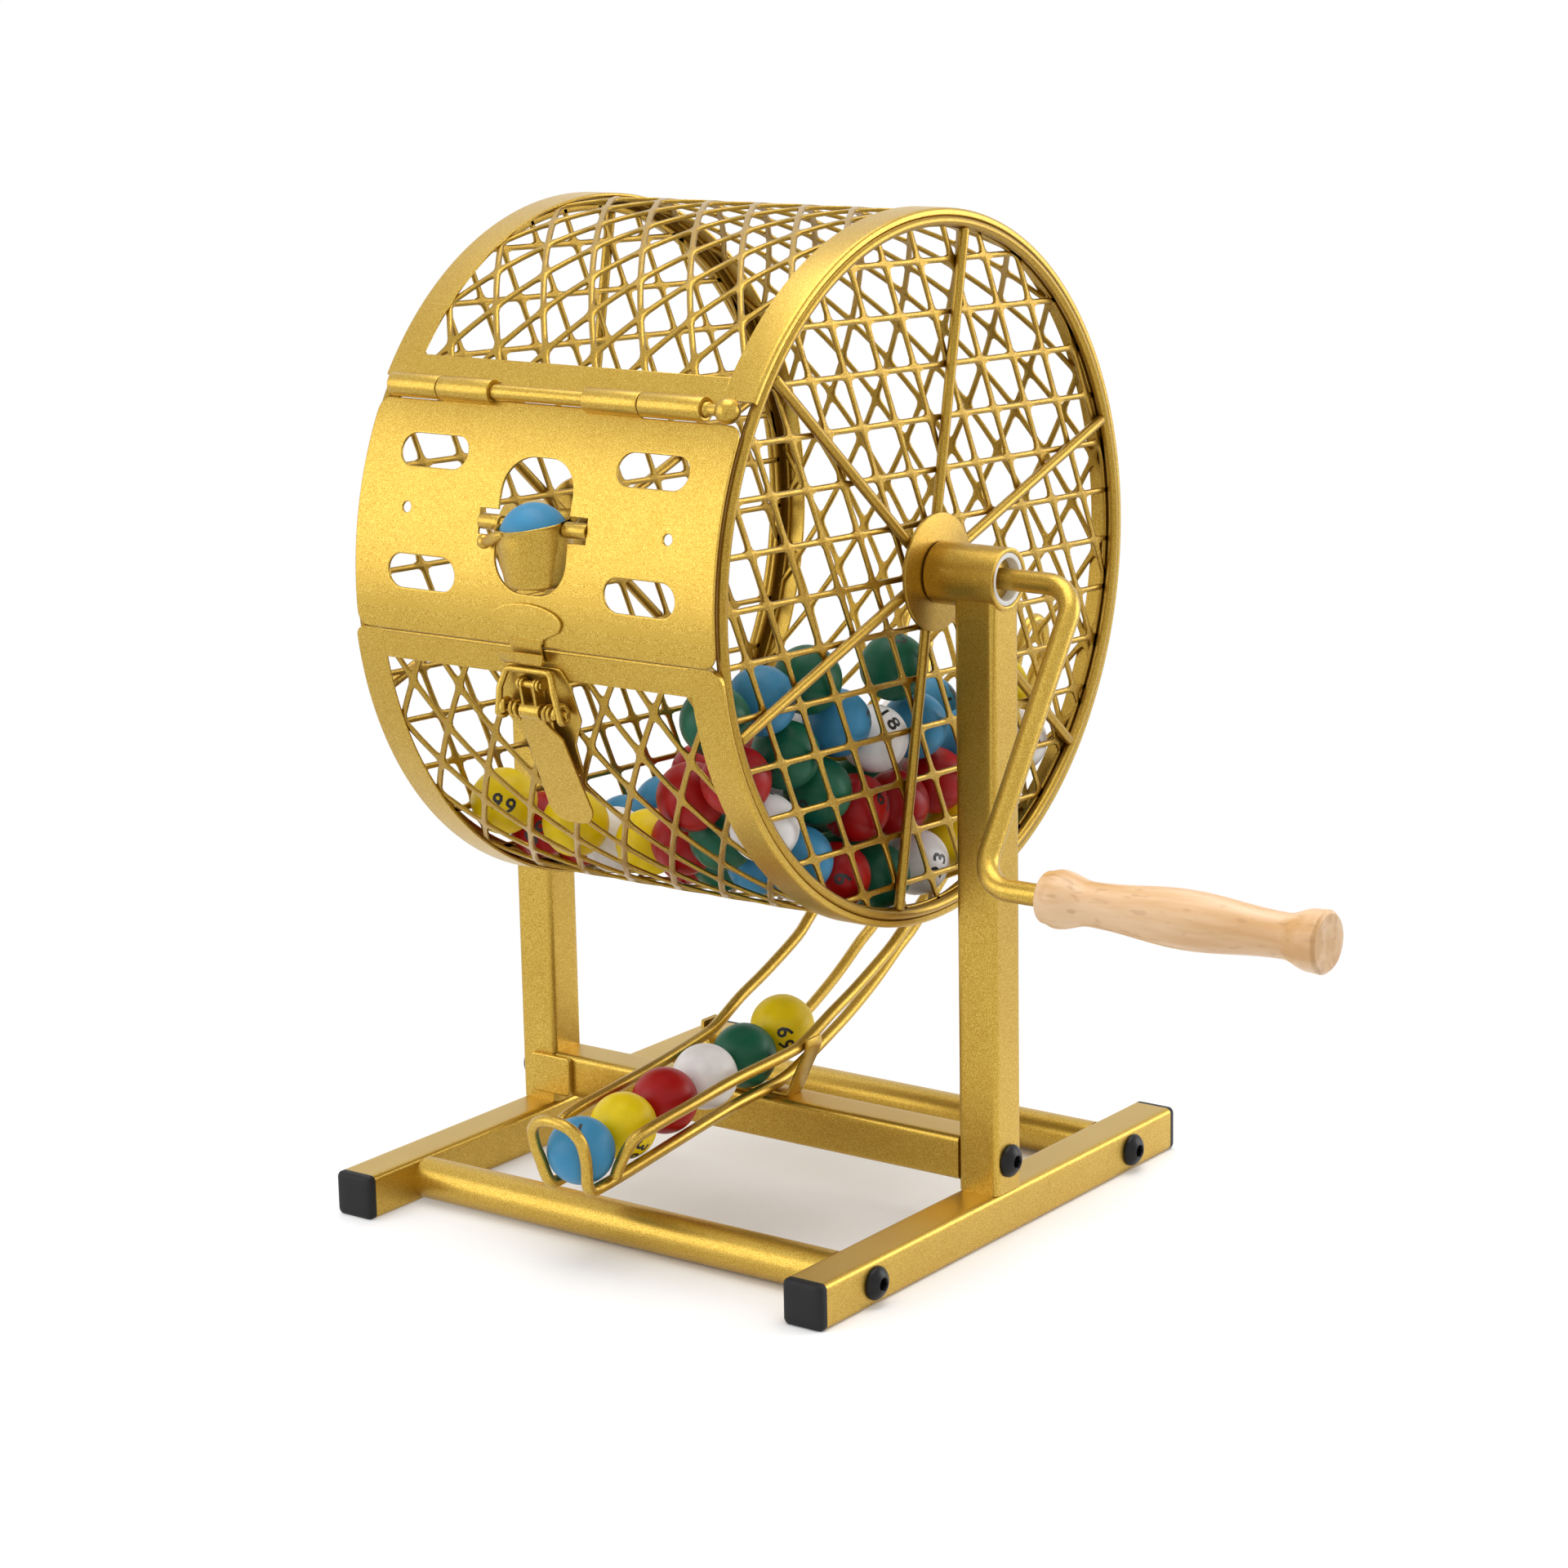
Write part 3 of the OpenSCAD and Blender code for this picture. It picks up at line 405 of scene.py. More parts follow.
class Wires:
    """Adds nodes to one tree, of a material or of Geometry Nodes."""

    def __init__(self, tree: bpy.types.NodeTree) -> None:
        """Keeps the tree."""
        self.tree = tree

    def node(self, kind: str, settings: dict[str, Any] | None = None, **sockets: Any) -> bpy.types.Node:
        """Adds one node.

        Args:
            kind: the node's type.
            settings: its properties, set first; stops are a colour ramp's.
            sockets: values or links of its inputs, by name, or by _ and number.

        Returns:
            The node.
        """
        node = self.tree.nodes.new(kind)
        for key, value in (settings or {}).items():
            if key == "stops":
                ramp = node.color_ramp
                while len(ramp.elements) < len(value):
                    ramp.elements.new(0.5)
                for element, (place, colour) in zip(ramp.elements, value):
                    element.position = place
                    element.color = (*colour, 1.0)
            else:
                setattr(node, key, value)
        for key, value in sockets.items():
            place = node.inputs[int(key[1:])] if key[0] == "_" else node.inputs[key.replace("_", " ")]
            self.feed(place, value)
        return node

    def feed(self, place: bpy.types.NodeSocket, value: Any) -> None:
        """Links a value to an input, or writes it there."""
        if isinstance(value, Value):
            self.tree.links.new(value.socket, place)
        elif isinstance(value, tuple) and len(value) == 3 and len(getattr(place, "default_value", ())) == 4:
            place.default_value = (*value, 1.0)
        else:
            place.default_value = value

    def value(
        self, kind: str, settings: dict[str, Any] | None = None, out: int | str = 0, **sockets: Any
    ) -> "Value":
        """Adds a node and returns one of its outputs."""
        return Value(self, self.node(kind, settings, **sockets).outputs[out])

    def mix(self, factor: Any, a: Any, b: Any) -> "Value":
        """Returns a mix of two colours."""
        return self.value("ShaderNodeMix", {"data_type": "RGBA"}, 2, _0=factor, _6=a, _7=b)


class Value:
    """One output of a node, with arithmetic that adds Math nodes."""

    def __init__(self, wires: Wires, socket: bpy.types.NodeSocket) -> None:
        """Keeps the socket and what adds nodes to its tree."""
        self.wires = wires
        self.socket = socket

    def _math(self, kind: str, a: Any, b: Any) -> "Value":
        """Adds a Math node."""
        return self.wires.value("ShaderNodeMath", {"operation": kind}, _0=a, _1=b)

    def __add__(self, other: Any) -> "Value":
        """Returns self + other."""
        return self._math("ADD", self, other)

    __radd__ = __add__

    def __sub__(self, other: Any) -> "Value":
        """Returns self - other."""
        return self._math("SUBTRACT", self, other)

    def __rsub__(self, other: Any) -> "Value":
        """Returns other - self."""
        return self._math("SUBTRACT", other, self)

    def __mul__(self, other: Any) -> "Value":
        """Returns self * other."""
        return self._math("MULTIPLY", self, other)

    __rmul__ = __mul__

    def least(self, other: Any) -> "Value":
        """Returns the lesser of the two."""
        return self._math("MINIMUM", self, other)

    def most(self, other: Any) -> "Value":
        """Returns the greater of the two."""
        return self._math("MAXIMUM", self, other)


class Surface(Wires):
    """The node tree of one material."""

    def __init__(self, name: str) -> None:
        """Makes the material with an empty tree."""
        self.material = bpy.data.materials.new(name)
        self.material.use_nodes = True
        super().__init__(self.material.node_tree)
        self.tree.nodes.clear()
        self.place = self.value("ShaderNodeTexCoord", out="Object")

    def noise(self, grain: float, detail: float, squeeze: Spot | None = None) -> Value:
        """Returns noise.

        Args:
            grain: about how many millimetres its grains are across.
            detail: how many finer layers it has.
            squeeze: how much narrower than that the grains are along each axis, if not the same.

        Returns:
            The noise, from 0 to 1.
        """
        place = self.place
        if squeeze:
            place = self.value("ShaderNodeMapping", Vector=place, Scale=squeeze)
        return self.value("ShaderNodeTexNoise", Vector=place, Scale=MM_IN_METRE / grain, Detail=detail)

    def ramp(self, factor: Value, *stops: tuple[float, Colour]) -> Value:
        """Returns a colour ramp of a factor."""
        return self.value("ShaderNodeValToRGB", {"stops": stops}, Fac=factor)

    def bump(self, height: Value, depth: float, strength: float) -> Value:
        """Returns a normal from a height of so many millimetres."""
        return self.value("ShaderNodeBump", Height=height, Distance=depth / MM_IN_METRE, Strength=strength)

    def finish(self, **sockets: Any) -> bpy.types.Material:
        """Adds the shader with these inputs and returns the material."""
        shader = self.node("ShaderNodeBsdfPrincipled", None, **sockets)
        self.node("ShaderNodeOutputMaterial", None, Surface=Value(self, shader.outputs[0]))
        return self.material


@dataclass(frozen=True)
class GoldPaint:
    """Satin paint: an ochre ground, and over it metal flakes that mirror the light."""

    name: str
    light: Colour
    middle: Colour
    ground: Colour
    flake: float = 0.2
    cloud: float = 14.0
    cloud_share: float = 0.05
    peel: float = 0.9
    peel_share: float = 0.6
    stops: tuple[float, float, float] = (0.35, 0.5, 0.65)
    metal_from: float = 0.38
    metal_to: float = 0.54
    least_metal: float = 0.65
    rough: float = 0.27
    rougher: float = 0.14
    coat: float = 0.2
    coat_rough: float = 0.4

    def material(self) -> bpy.types.Material:
        """Returns the paint as a material."""
        s = Surface(self.name)
        flakes = s.noise(self.flake, 1.0)
        grain = flakes * (1 - self.cloud_share) + s.noise(self.cloud, 3.0) * self.cloud_share
        metal = s.value(
            "ShaderNodeMapRange", _0=grain, _1=self.metal_from, _2=self.metal_to, _3=self.least_metal, _4=1.0
        )
        orange_peel = s.noise(self.peel, 2.0) * self.peel_share + flakes * (1 - self.peel_share)
        colour = s.ramp(grain, *zip(self.stops, (self.ground, self.middle, self.light)))
        return s.finish(
            Base_Color=colour, Metallic=metal, Roughness=self.rough + flakes * self.rougher,
            Coat_Weight=self.coat, Coat_Roughness=self.coat_rough, Normal=s.bump(orange_peel, 0.03, 0.35),
        )


@dataclass(frozen=True)
class Moulding:
    """Plain moulded or blackened stuff with a fine grain."""

    name: str
    colour: Colour
    rough: float
    grain: float = 0.5
    depth: float = 0.02
    metallic: float = 0.0
    gloss: float = 0.5
    cloud: float = 9.0
    darker: float = 0.82
    rough_spread: float = 0.2

    def material(self) -> bpy.types.Material:
        """Returns the stuff as a material."""
        s = Surface(self.name)
        grain = s.noise(self.grain, 3.0)
        dark = tuple(c * self.darker for c in self.colour)
        return s.finish(
            Base_Color=s.mix(s.noise(self.cloud, 2.0), dark, self.colour), Metallic=self.metallic,
            Roughness=self.rough + (grain - 0.5) * self.rough_spread, Specular_IOR_Level=self.gloss,
            Normal=s.bump(grain, self.depth, 0.4),
        )


@dataclass(frozen=True)
class Beech:
    """Turned beech under satin lacquer, its grain along the grip."""

    pale: Colour = (0.75, 0.51, 0.30)
    warm: Colour = (0.60, 0.34, 0.135)
    ray: Colour = (0.40, 0.20, 0.08)
    # Grain size, finer layers and squeeze of the growth rings, the pores and the rays
    growth_grain: tuple[float, float, Spot] = (7.0, 3.0, (0.09, 1.0, 1.0))
    pore_grain: tuple[float, float, Spot] = (0.8, 2.0, (0.12, 1.0, 1.0))
    ray_grain: tuple[float, float, Spot] = (1.5, 1.0, (0.22, 1.0, 0.6))
    ray_share: float = 0.45
    pore_share: float = 0.22
    lacquer: float = 0.35
    lacquer_rough: float = 0.22

    def material(self) -> bpy.types.Material:
        """Returns the wood as a material."""
        s = Surface("beech")
        growth = s.noise(*self.growth_grain)
        pores = s.noise(*self.pore_grain)
        rays = s.noise(*self.ray_grain)
        colour = s.ramp(growth, (0.38, self.warm), (0.58, self.pale))
        flecks = s.ramp(rays, (0.60, BLACK), (0.72, WHITE))
        colour = s.mix(flecks * self.ray_share, colour, self.ray)
        colour = s.mix(pores * self.pore_share, colour, self.warm)
        return s.finish(
            Base_Color=colour, Roughness=0.36 + pores * 0.12, Coat_Weight=self.lacquer,
            Coat_Roughness=self.lacquer_rough, Normal=s.bump(pores, 0.04, 0.25),
        )


@dataclass(frozen=True)
class BallPlastic:
    """Satin plastic of a ball, with faint flow marks."""

    name: str
    colour: Colour
    flow: float = 6.0
    scuff: float = 0.7
    deeper: float = 0.88
    rough: float = 0.33
    gloss: float = 0.24

    def material(self) -> bpy.types.Material:
        """Returns the plastic as a material."""
        s = Surface(self.name)
        marks = s.ramp(s.noise(self.flow, 3.0), (0.35, BLACK), (0.65, WHITE))
        deep = tuple(c * self.deeper for c in self.colour)
        scuffs = s.noise(self.scuff, 3.0)
        return s.finish(
            Base_Color=s.mix(marks * 0.9, deep, self.colour), Roughness=self.rough + scuffs * 0.12,
            Specular_IOR_Level=self.gloss, Normal=s.bump(scuffs, 0.02, 0.2),
        )


class Finish(Enum):
    """The finishes of the object."""

    GOLD = "gold_paint"
    # A darker copy of the gold paint: its darkness is painted shade, not a thinner coat
    THIN_GOLD = "thin_gold_paint"
    BLACK_PLASTIC = "black_plastic"
    BLACK_STEEL = "black_steel"
    ZINC = "zinc_steel"
    NYLON = "white_nylon"
    BEECH = "beech"
    BLUE = "blue_ball"
    YELLOW = "yellow_ball"
    RED = "red_ball"
    WHITE = "white_ball"
    GREEN = "green_ball"
    INK = "black_ink"

    @property
    def slot(self) -> str:
        """The record's material slot, which the gold paint and its darker copy with painted shade share."""
        return Finish.GOLD.value if self is Finish.THIN_GOLD else self.value


MAKERS: dict[Finish, Any] = {
    Finish.GOLD: GoldPaint("gold_paint", (0.72, 0.525, 0.13), (0.50, 0.315, 0.034), (0.35, 0.17, 0.003)),
    # The same gold paint made darker as painted shade, for the expanded mesh, spokes, rim hoops and hub plates
    # in and at the drum
    Finish.THIN_GOLD: GoldPaint(
        "thin_gold_paint", (0.56, 0.39, 0.075), (0.38, 0.225, 0.018), (0.25, 0.11, 0.002)
    ),
    Finish.BLACK_PLASTIC: Moulding("black_plastic", (0.012, 0.012, 0.013), 0.5, 0.6, 0.04, gloss=0.22),
    Finish.BLACK_STEEL: Moulding("black_steel", (0.010, 0.010, 0.010), 0.34, 0.4, 0.02, 0.3, 0.3),
    Finish.ZINC: Moulding("zinc_steel", (0.5, 0.5, 0.52), 0.38, 0.4, 0.02, 1.0),
    Finish.NYLON: Moulding("white_nylon", (0.84, 0.84, 0.82), 0.42, 0.5, 0.01),
    Finish.BEECH: Beech(),
    Finish.BLUE: BallPlastic("blue_ball", (0.045, 0.235, 0.42)),
    Finish.YELLOW: BallPlastic("yellow_ball", (0.80, 0.58, 0.002)),
    Finish.RED: BallPlastic("red_ball", (0.36, 0.003, 0.003)),
    Finish.WHITE: BallPlastic("white_ball", (0.86, 0.84, 0.83)),
    Finish.GREEN: BallPlastic("green_ball", (0.007, 0.105, 0.052)),
    Finish.INK: Moulding("black_ink", (0.01, 0.01, 0.012), 0.42, 0.4, 0.01),
}


class Workshop:
    """Turns shapes into finished pieces."""

    def __init__(self) -> None:
        """Makes the materials and finds the stand's origin."""
        self.materials = {finish: maker.material() for finish, maker in MAKERS.items()}
        self.place = Matrix.Translation(stand_origin()) @ Matrix.Scale(1 / MM_IN_METRE, 4)

    def piece(
        self, name: str, shape: Shape | bpy.types.Mesh, finish: Finish, body: str, nodes: Sequence[str] = (),
        angle: float = 35.0,
    ) -> None:
        """Finishes one piece.

        Args:
            name: the piece's name.
            shape: its shape in millimetres.
            finish: what it is made of.
            body: the CAD body that it rides on.
            nodes: the CAD nodes that it stands for.
            angle: edges sharper than this stay sharp, in degrees.
        """
        mesh = shape.mesh(name) if isinstance(shape, Shape) else shape
        mesh.name = name
        mesh.transform(self.place)
        mesh.materials.clear()
        mesh.materials.append(self.materials[finish])
        mesh.shade_smooth()
        mesh.set_sharp_from_angle(angle=math.radians(angle))
        obj = bpy.data.objects.new(name, mesh)
        bpy.context.scene.collection.objects.link(obj)
        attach(obj, body)
        if nodes:
            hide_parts(*nodes)
        if finish is not Finish.INK:
            finish.slot
        log.info("%s: %d faces on %s", name, len(mesh.polygons), body)

    def paint_cad(self, node: str, finish: Finish) -> None:
        """Gives a CAD node that stays its finish."""
        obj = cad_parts[node]
        obj.data.materials.clear()
        obj.data.materials.append(self.materials[finish])


class GeometryTree(Wires):
    """A Geometry Nodes tree with named inputs."""

    def __init__(self, name: str, inputs: dict[str, str]) -> None:
        """Starts the tree.

        Args:
            name: the tree's name.
            inputs: each input's name and socket type, such as Float.
        """
        group = bpy.data.node_groups.new(name, "GeometryNodeTree")
        super().__init__(group)
        group.interface.new_socket("Geometry", in_out="INPUT", socket_type="NodeSocketGeometry")
        group.interface.new_socket("Geometry", in_out="OUTPUT", socket_type="NodeSocketGeometry")
        self.keys = {
            key: group.interface.new_socket(key, in_out="INPUT", socket_type="NodeSocket" + kind).identifier
            for key, kind in inputs.items()
        }
        self.inputs = self.node("NodeGroupInput")

    def given(self, name: str) -> Value:
        """Returns one of the tree's inputs."""
        return Value(self, self.inputs.outputs[name])

    def end(self, result: Value) -> None:
        """Ends the tree: instances made real, the finish set."""
        real = self.value("GeometryNodeRealizeInstances", Geometry=result)
        dressed = self.value("GeometryNodeSetMaterial", Geometry=real, Material=self.given("Finish"))
        self.node("NodeGroupOutput", None, Geometry=dressed)

    def run(self, base: bpy.types.Mesh, values: dict[str, Any]) -> bpy.types.Mesh:
        """Runs the tree on a mesh and returns the plain result."""
        obj = bpy.data.objects.new(self.tree.name, base)
        bpy.context.scene.collection.objects.link(obj)
        modifier = obj.modifiers.new(self.tree.name, "NODES")
        modifier.node_group = self.tree
        for key, value in values.items():
            modifier[self.keys[key]] = value
        graph = bpy.context.evaluated_depsgraph_get()
        mesh = bpy.data.meshes.new_from_object(obj.evaluated_get(graph))
        obj.modifiers.remove(modifier)
        bpy.data.objects.remove(obj)
        return mesh


class Copies(GeometryTree):
    """Copies of one item at points that carry their turn."""

    def __init__(self) -> None:
        """Builds the tree."""
        super().__init__("copies", {"Item": "Object", "Finish": "Material"})
        item = self.value(
            "GeometryNodeObjectInfo", {"transform_space": "ORIGINAL"}, "Geometry", Object=self.given("Item")
        )
        turn = self.value("GeometryNodeInputNamedAttribute", {"data_type": "FLOAT_VECTOR"}, Name="turn")
        rotation = self.value("FunctionNodeEulerToRotation", Euler=turn)
        points = self.value("GeometryNodeMeshToPoints", Mesh=self.given("Geometry"))
        self.end(self.value("GeometryNodeInstanceOnPoints", Points=points, Instance=item, Rotation=rotation))

    def make(
        self, shop: Workshop, item: Shape, places: Sequence[tuple[Vector, Euler]], finish: Finish
    ) -> bpy.types.Mesh:
        """Returns a mesh of the item at each place, given as point and turn."""
        points = bpy.data.meshes.new("places")
        points.from_pydata([tuple(p) for p, _ in places], [], [])
        turns = points.attributes.new("turn", "FLOAT_VECTOR", "POINT")
        for value, (_, turn) in zip(turns.data, places):
            value.vector = tuple(turn)
        model = bpy.data.objects.new("item", item.mesh("item"))
        bpy.context.scene.collection.objects.link(model)
        mesh = self.run(points, {"Item": model, "Finish": shop.materials[finish]})
        bpy.data.objects.remove(model)
        return mesh


class ExpandedSheet(GeometryTree):
    """Expanded metal laid flat: one diamond of strands repeated over a staggered lattice."""

    def __init__(self) -> None:
        """Builds the tree."""
        sizes = {"Columns": "Int", "Rows": "Int", "Step Across": "Float", "Step Along": "Float"}
        sizes |= {"Middle Across": "Float", "Middle Along": "Float", "Finish": "Material"}
        super().__init__("expanded_sheet", sizes)
        across, along = self.given("Step Across"), self.given("Step Along")
        columns, rows = self.given("Columns"), self.given("Rows")
        joined = self.node("GeometryNodeJoinGeometry")
        for half in (0.0, 0.5):
            grid = self.value(
                "GeometryNodeMeshGrid", None, "Mesh",
                Size_X=across * (columns - 1), Size_Y=along * (rows - 1),
                Vertices_X=columns, Vertices_Y=rows,
            )
            shift = self.value(
                "ShaderNodeCombineXYZ", X=self.given("Middle Across") + across * half,
                Y=self.given("Middle Along") + along * half,
            )
            moved = self.value("GeometryNodeTransform", Geometry=grid, Translation=shift)
            self.tree.links.new(moved.socket, joined.inputs[0])
        points = self.value("GeometryNodeMeshToPoints", Mesh=Value(self, joined.outputs[0]))
        self.end(self.value("GeometryNodeInstanceOnPoints", Points=points, Instance=self.given("Geometry")))

    def cut(
        self, cell: bpy.types.Mesh, values: dict[str, Any], planes: Sequence[tuple[Vector, Vector]],
        place: Callable[[Vector], Vector],
    ) -> bpy.types.Mesh:
        """Lays the sheet, cuts it to size and puts it in place.

        Args:
            cell: one diamond.
            values: the tree's inputs.
            planes: a point and an outward direction of each cut.
            place: takes a point of the flat sheet to where it belongs.

        Returns:
            The closed mesh.
        """
        mesh = self.run(cell, values)
        work = bmesh.new()
        work.from_mesh(mesh)
        bmesh.ops.remove_doubles(work, verts=work.verts, dist=0.005)
        for spot, out in planes:
            # Keys of a dict stay in order, so every run cuts the sheet into the same facets
            near = [v for v in work.verts if (v.co - spot).dot(out) > -0.001]
            faces = dict.fromkeys(f for v in near for f in v.link_faces)
            edges = dict.fromkeys(e for f in faces for e in f.edges)
            verts = dict.fromkeys(v for f in faces for v in f.verts)
            bmesh.ops.bisect_plane(
                work, geom=[*verts, *edges, *faces], plane_co=spot, plane_no=out, clear_outer=True, dist=0.001
            )
        bmesh.ops.holes_fill(work, edges=[e for e in work.edges if e.is_boundary], sides=0)
        bmesh.ops.recalc_face_normals(work, faces=work.faces)
        for v in work.verts:
            v.co = place(v.co)
        work.to_mesh(mesh)
        work.free()
        return mesh


@dataclass
class Stand:
    """Floor rails, uprights and the tubes between them."""

    tube: float = 15.0
    wall: float = 1.2
    corner: float = 1.9
    rail_x: float = 92.0
    rail_l: float = 204.5
    cross_y: float = 76.5
    cross_d: float = 14.0
    crossbar_z: float = 25.5
    saddle_r: float = 9.8
    # Each ring of a cap: how far it lies past the rail's end, and how much smaller than the tube it is
    cap_rings: tuple[Flat, ...] = (
        (-8.0, 1.35), (-0.02, 1.35), (0.0, 0.0), (0.35, 0.0), (1.7, 0.0), (2.3, 0.22), (2.75, 0.75),
        (3.0, 1.6),
        (3.0, 5.0),
    )
    plate_x: Flat = (-94.4, -76.7)
    plate_y: Flat = (7.4, 9.5)
    plate_z: Flat = (18.5, 32.5)
    plate_corner: float = 2.0
    shank_l: float = 27.0
    shank_r: float = 2.9
    # The button head from its foot to the rim of its socket: height and radius
    head: tuple[Flat, ...] = (
        (0.0, 5.2), (0.12, 5.45), (0.5, 5.5), (0.95, 5.42), (1.7, 4.9), (2.4, 4.1), (2.95, 3.2), (3.25, 2.5),
        (3.28, 2.3), (3.1, 2.1),
    )
    hexagon_half: float = 1.85
    hexagon_top: float = 2.9
    hexagon_low: float = 0.9
    hexagon_tip: float = 0.7
    bolt_turn: float = 0.3

    def square(
        self, lift: Lift, start: float, end: float, top: Callable[[float, float], float] | None = None
    ) -> Shape:
        """Builds a length of square tube.

        Args:
            lift: turns a point across the tube and a length along it into a point.
            start: where the tube starts.
            end: where it ends, if that is a plain cut.
            top: the end's place for each point across the tube, if it follows a surface.

        Returns:
            The shape.
        """
        h, w = self.tube / 2, self.wall
        outer = self.divided(rounded_box(-h, h, -h, h, self.corner, 6))
        inner = self.divided(rounded_box(w - h, h - w, w - h, h - w, self.corner - w / 2, 6))
        finish = top or (lambda a, b: end)
        rings = [
            [lift(a, b, start) for a, b in outer],
            [lift(a, b, finish(a, b)) for a, b in outer],
            [lift(a, b, finish(a, b)) for a, b in inner],
            [lift(a, b, start) for a, b in inner],
        ]
        return Shape().strip(rings, loop=True)

    @staticmethod
    def divided(loop: Sequence[Flat]) -> list[Flat]:
        """Returns a loop with its long sides cut into eighths."""
        out: list[Flat] = []
        for i, (bx, by) in enumerate(loop):
            ax, ay = loop[i - 1]
            n = 8 if math.hypot(bx - ax, by - ay) > 3 else 1
            out += [(ax + (bx - ax) * j / n, ay + (by - ay) * j / n) for j in range(n)]
        return out

    def build(self, shop: Workshop, copies: Copies) -> None:
        """Builds and dresses the stand's pieces."""
        low = self.tube / 2
        for side, name in SIDES:
            rail = self.square(
                lambda a, b, c, s=side: Vector((s * self.rail_x + a, c, low + b)),
                -self.rail_l / 2, self.rail_l / 2
            )
            shop.piece(f"{name}_floor_rail", rail, Finish.GOLD, "stand", [f"{name}_rail"])
            post = self.square(
                lambda a, b, c, s=side: Vector((s * self.rail_x + a, b, c)), self.tube, 0.0,
                lambda a, b: AXLE_Z - math.sqrt(self.saddle_r**2 - b * b),
            )
            shop.piece(f"{name}_post", post, Finish.GOLD, "stand", [f"{name}_upright"])
        inner = self.rail_x - low
        bar = self.square(lambda a, b, c: Vector((c, a, self.crossbar_z + b)), -inner, inner)
        shop.piece("middle_crossbar", bar, Finish.GOLD, "stand", ["centre_crossbar"])
        for side, name in ((-1, "front"), (1, "rear")):
            r = self.cross_d / 2
            place = Matrix.Translation((0, side * self.cross_y, low))
            profile = [(-inner, r), (inner, r), (inner, r - self.wall), (-inner, r - self.wall)]
            tube = Shape().lathe(profile, place=place)
            shop.piece(f"{name}_round_tube", tube, Finish.GOLD, "stand", [f"{name}_cross_tube"])
        self.caps(shop)
        self.plate(shop)
        self.bolts(shop, copies)
        shop.paint_cad("tube_inserts", Finish.ZINC)

    def caps(self, shop: Workshop) -> None:
        """Builds the black caps in the rails' ends."""
        h = self.tube / 2
        shape = Shape()
        for sx in (-1, 1):
            for sy in (-1, 1):
                rings = []
                for out, shrink in self.cap_rings:
                    w = h - shrink
                    ring = rounded_box(-w, w, -w, w, min(self.corner, w * 0.5), 6)
                    y = sy * (self.rail_l / 2 + out)
                    rings.append([Vector((sx * self.rail_x + a, y, h + b)) for a, b in ring])
                shape.strip(rings)
        shop.piece("rail_caps", shape, Finish.BLACK_PLASTIC, "stand", ["end_caps"], 50)

    def plate(self, shop: Workshop) -> None:
        """Builds the plate that joins the left upright to the crossbar."""
        (x0, x1), (z0, z1) = self.plate_x, self.plate_z
        outline = softened([(x0, z0), (x1, z0), (x1, z1), (x0, z1)], self.plate_corner)
        shape = Shape().plate([outline], *self.plate_y, lambda a, b, h: Vector((a, -h, b)), 0.5)
        shop.piece("joint_plate", shape, Finish.GOLD, "stand", ["foot_plate"])

    def bolts(self, shop: Workshop, copies: Copies) -> None:
        """Builds the six button-head bolts."""
        shank = [(-self.shank_l, 0.0), (-self.shank_l, self.shank_r), (0.0, self.shank_r)]
        turns = 48
        angles = [2 * math.pi * i / turns for i in range(turns)]
        shape = Shape().lathe([*shank, *self.head], closed=False, turns=turns)
        rim_x, rim_r = self.head[-1]
        rim = [Vector((rim_x, rim_r * math.sin(a), rim_r * math.cos(a))) for a in angles]
        reach = [self.hexagon_half / math.cos(a % (math.pi / 3) - math.pi / 6) for a in angles]
        hexagon = [
            Vector((self.hexagon_top, r * math.sin(a), r * math.cos(a))) for a, r in zip(angles, reach)
        ]
        floor = [Vector((self.hexagon_low, p.y, p.z)) for p in hexagon]
        shape.strip([rim, hexagon, floor, [Vector((self.hexagon_tip, 0, 0))] * turns], caps=False)
        places = []
        for side in (-1, 1):
            x = side * (self.rail_x + self.tube / 2)
            turn = Euler((self.bolt_turn * side, 0, 0 if side > 0 else math.pi))
            for y, z in (
                (-self.cross_y, self.tube / 2), (self.cross_y, self.tube / 2), (0.0, self.crossbar_z)
            ):
                places.append((Vector((x, y, z)), turn))
        mesh = copies.make(shop, shape, places, Finish.BLACK_STEEL)
        shop.piece("button_head_bolts", mesh, Finish.BLACK_STEEL, "stand", ["base_bolts"], 40)


@dataclass
class Bearings:
    """Bearing tubes on the uprights, their bushes and the axles."""

    inner: float = 74.75
    outer: float = 100.6
    tube_r: float = 10.0
    bush_r: float = 8.5
    bush_set_in: Flat = (0.5, 0.35)
    bore_r: float = 6.8
    fit: float = 0.02
    axle_x: Flat = (74.2, 97.0)
    axle_r: float = 6.75

    def build(self, shop: Workshop) -> None:
        """Builds and dresses the bearings of both sides."""
        start, end = self.inner + self.bush_set_in[0], self.outer - self.bush_set_in[1]
        for side, name in SIDES:
            place = on_axle(side)
            section = rounded_box(self.inner, self.outer, self.bush_r, self.tube_r, 0.35, 3)
            tube = Shape().lathe(section, place=place)
            shop.piece(f"{name}_axle_tube", tube, Finish.GOLD, "stand", [f"{name}_bearing_tube"])
            section = rounded_box(start, end, self.bore_r, self.bush_r - self.fit, 0.3, 3)
            bush = Shape().lathe(section, place=place)
            shop.piece(f"{name}_nylon_bush", bush, Finish.NYLON, "stand", [f"{name}_bush"])
            r, (near, far) = self.axle_r, self.axle_x
            profile = [
                (near, 0.0), (near, r), (far - 0.6, r), (far - 0.2, r - 0.15), (far, r - 0.5), (far, 0.0)
            ]
            axle = Shape().lathe(profile, closed=False, place=place)
            shop.piece(f"{name}_axle_pin", axle, Finish.GOLD, "drum", [f"{name}_axle"])


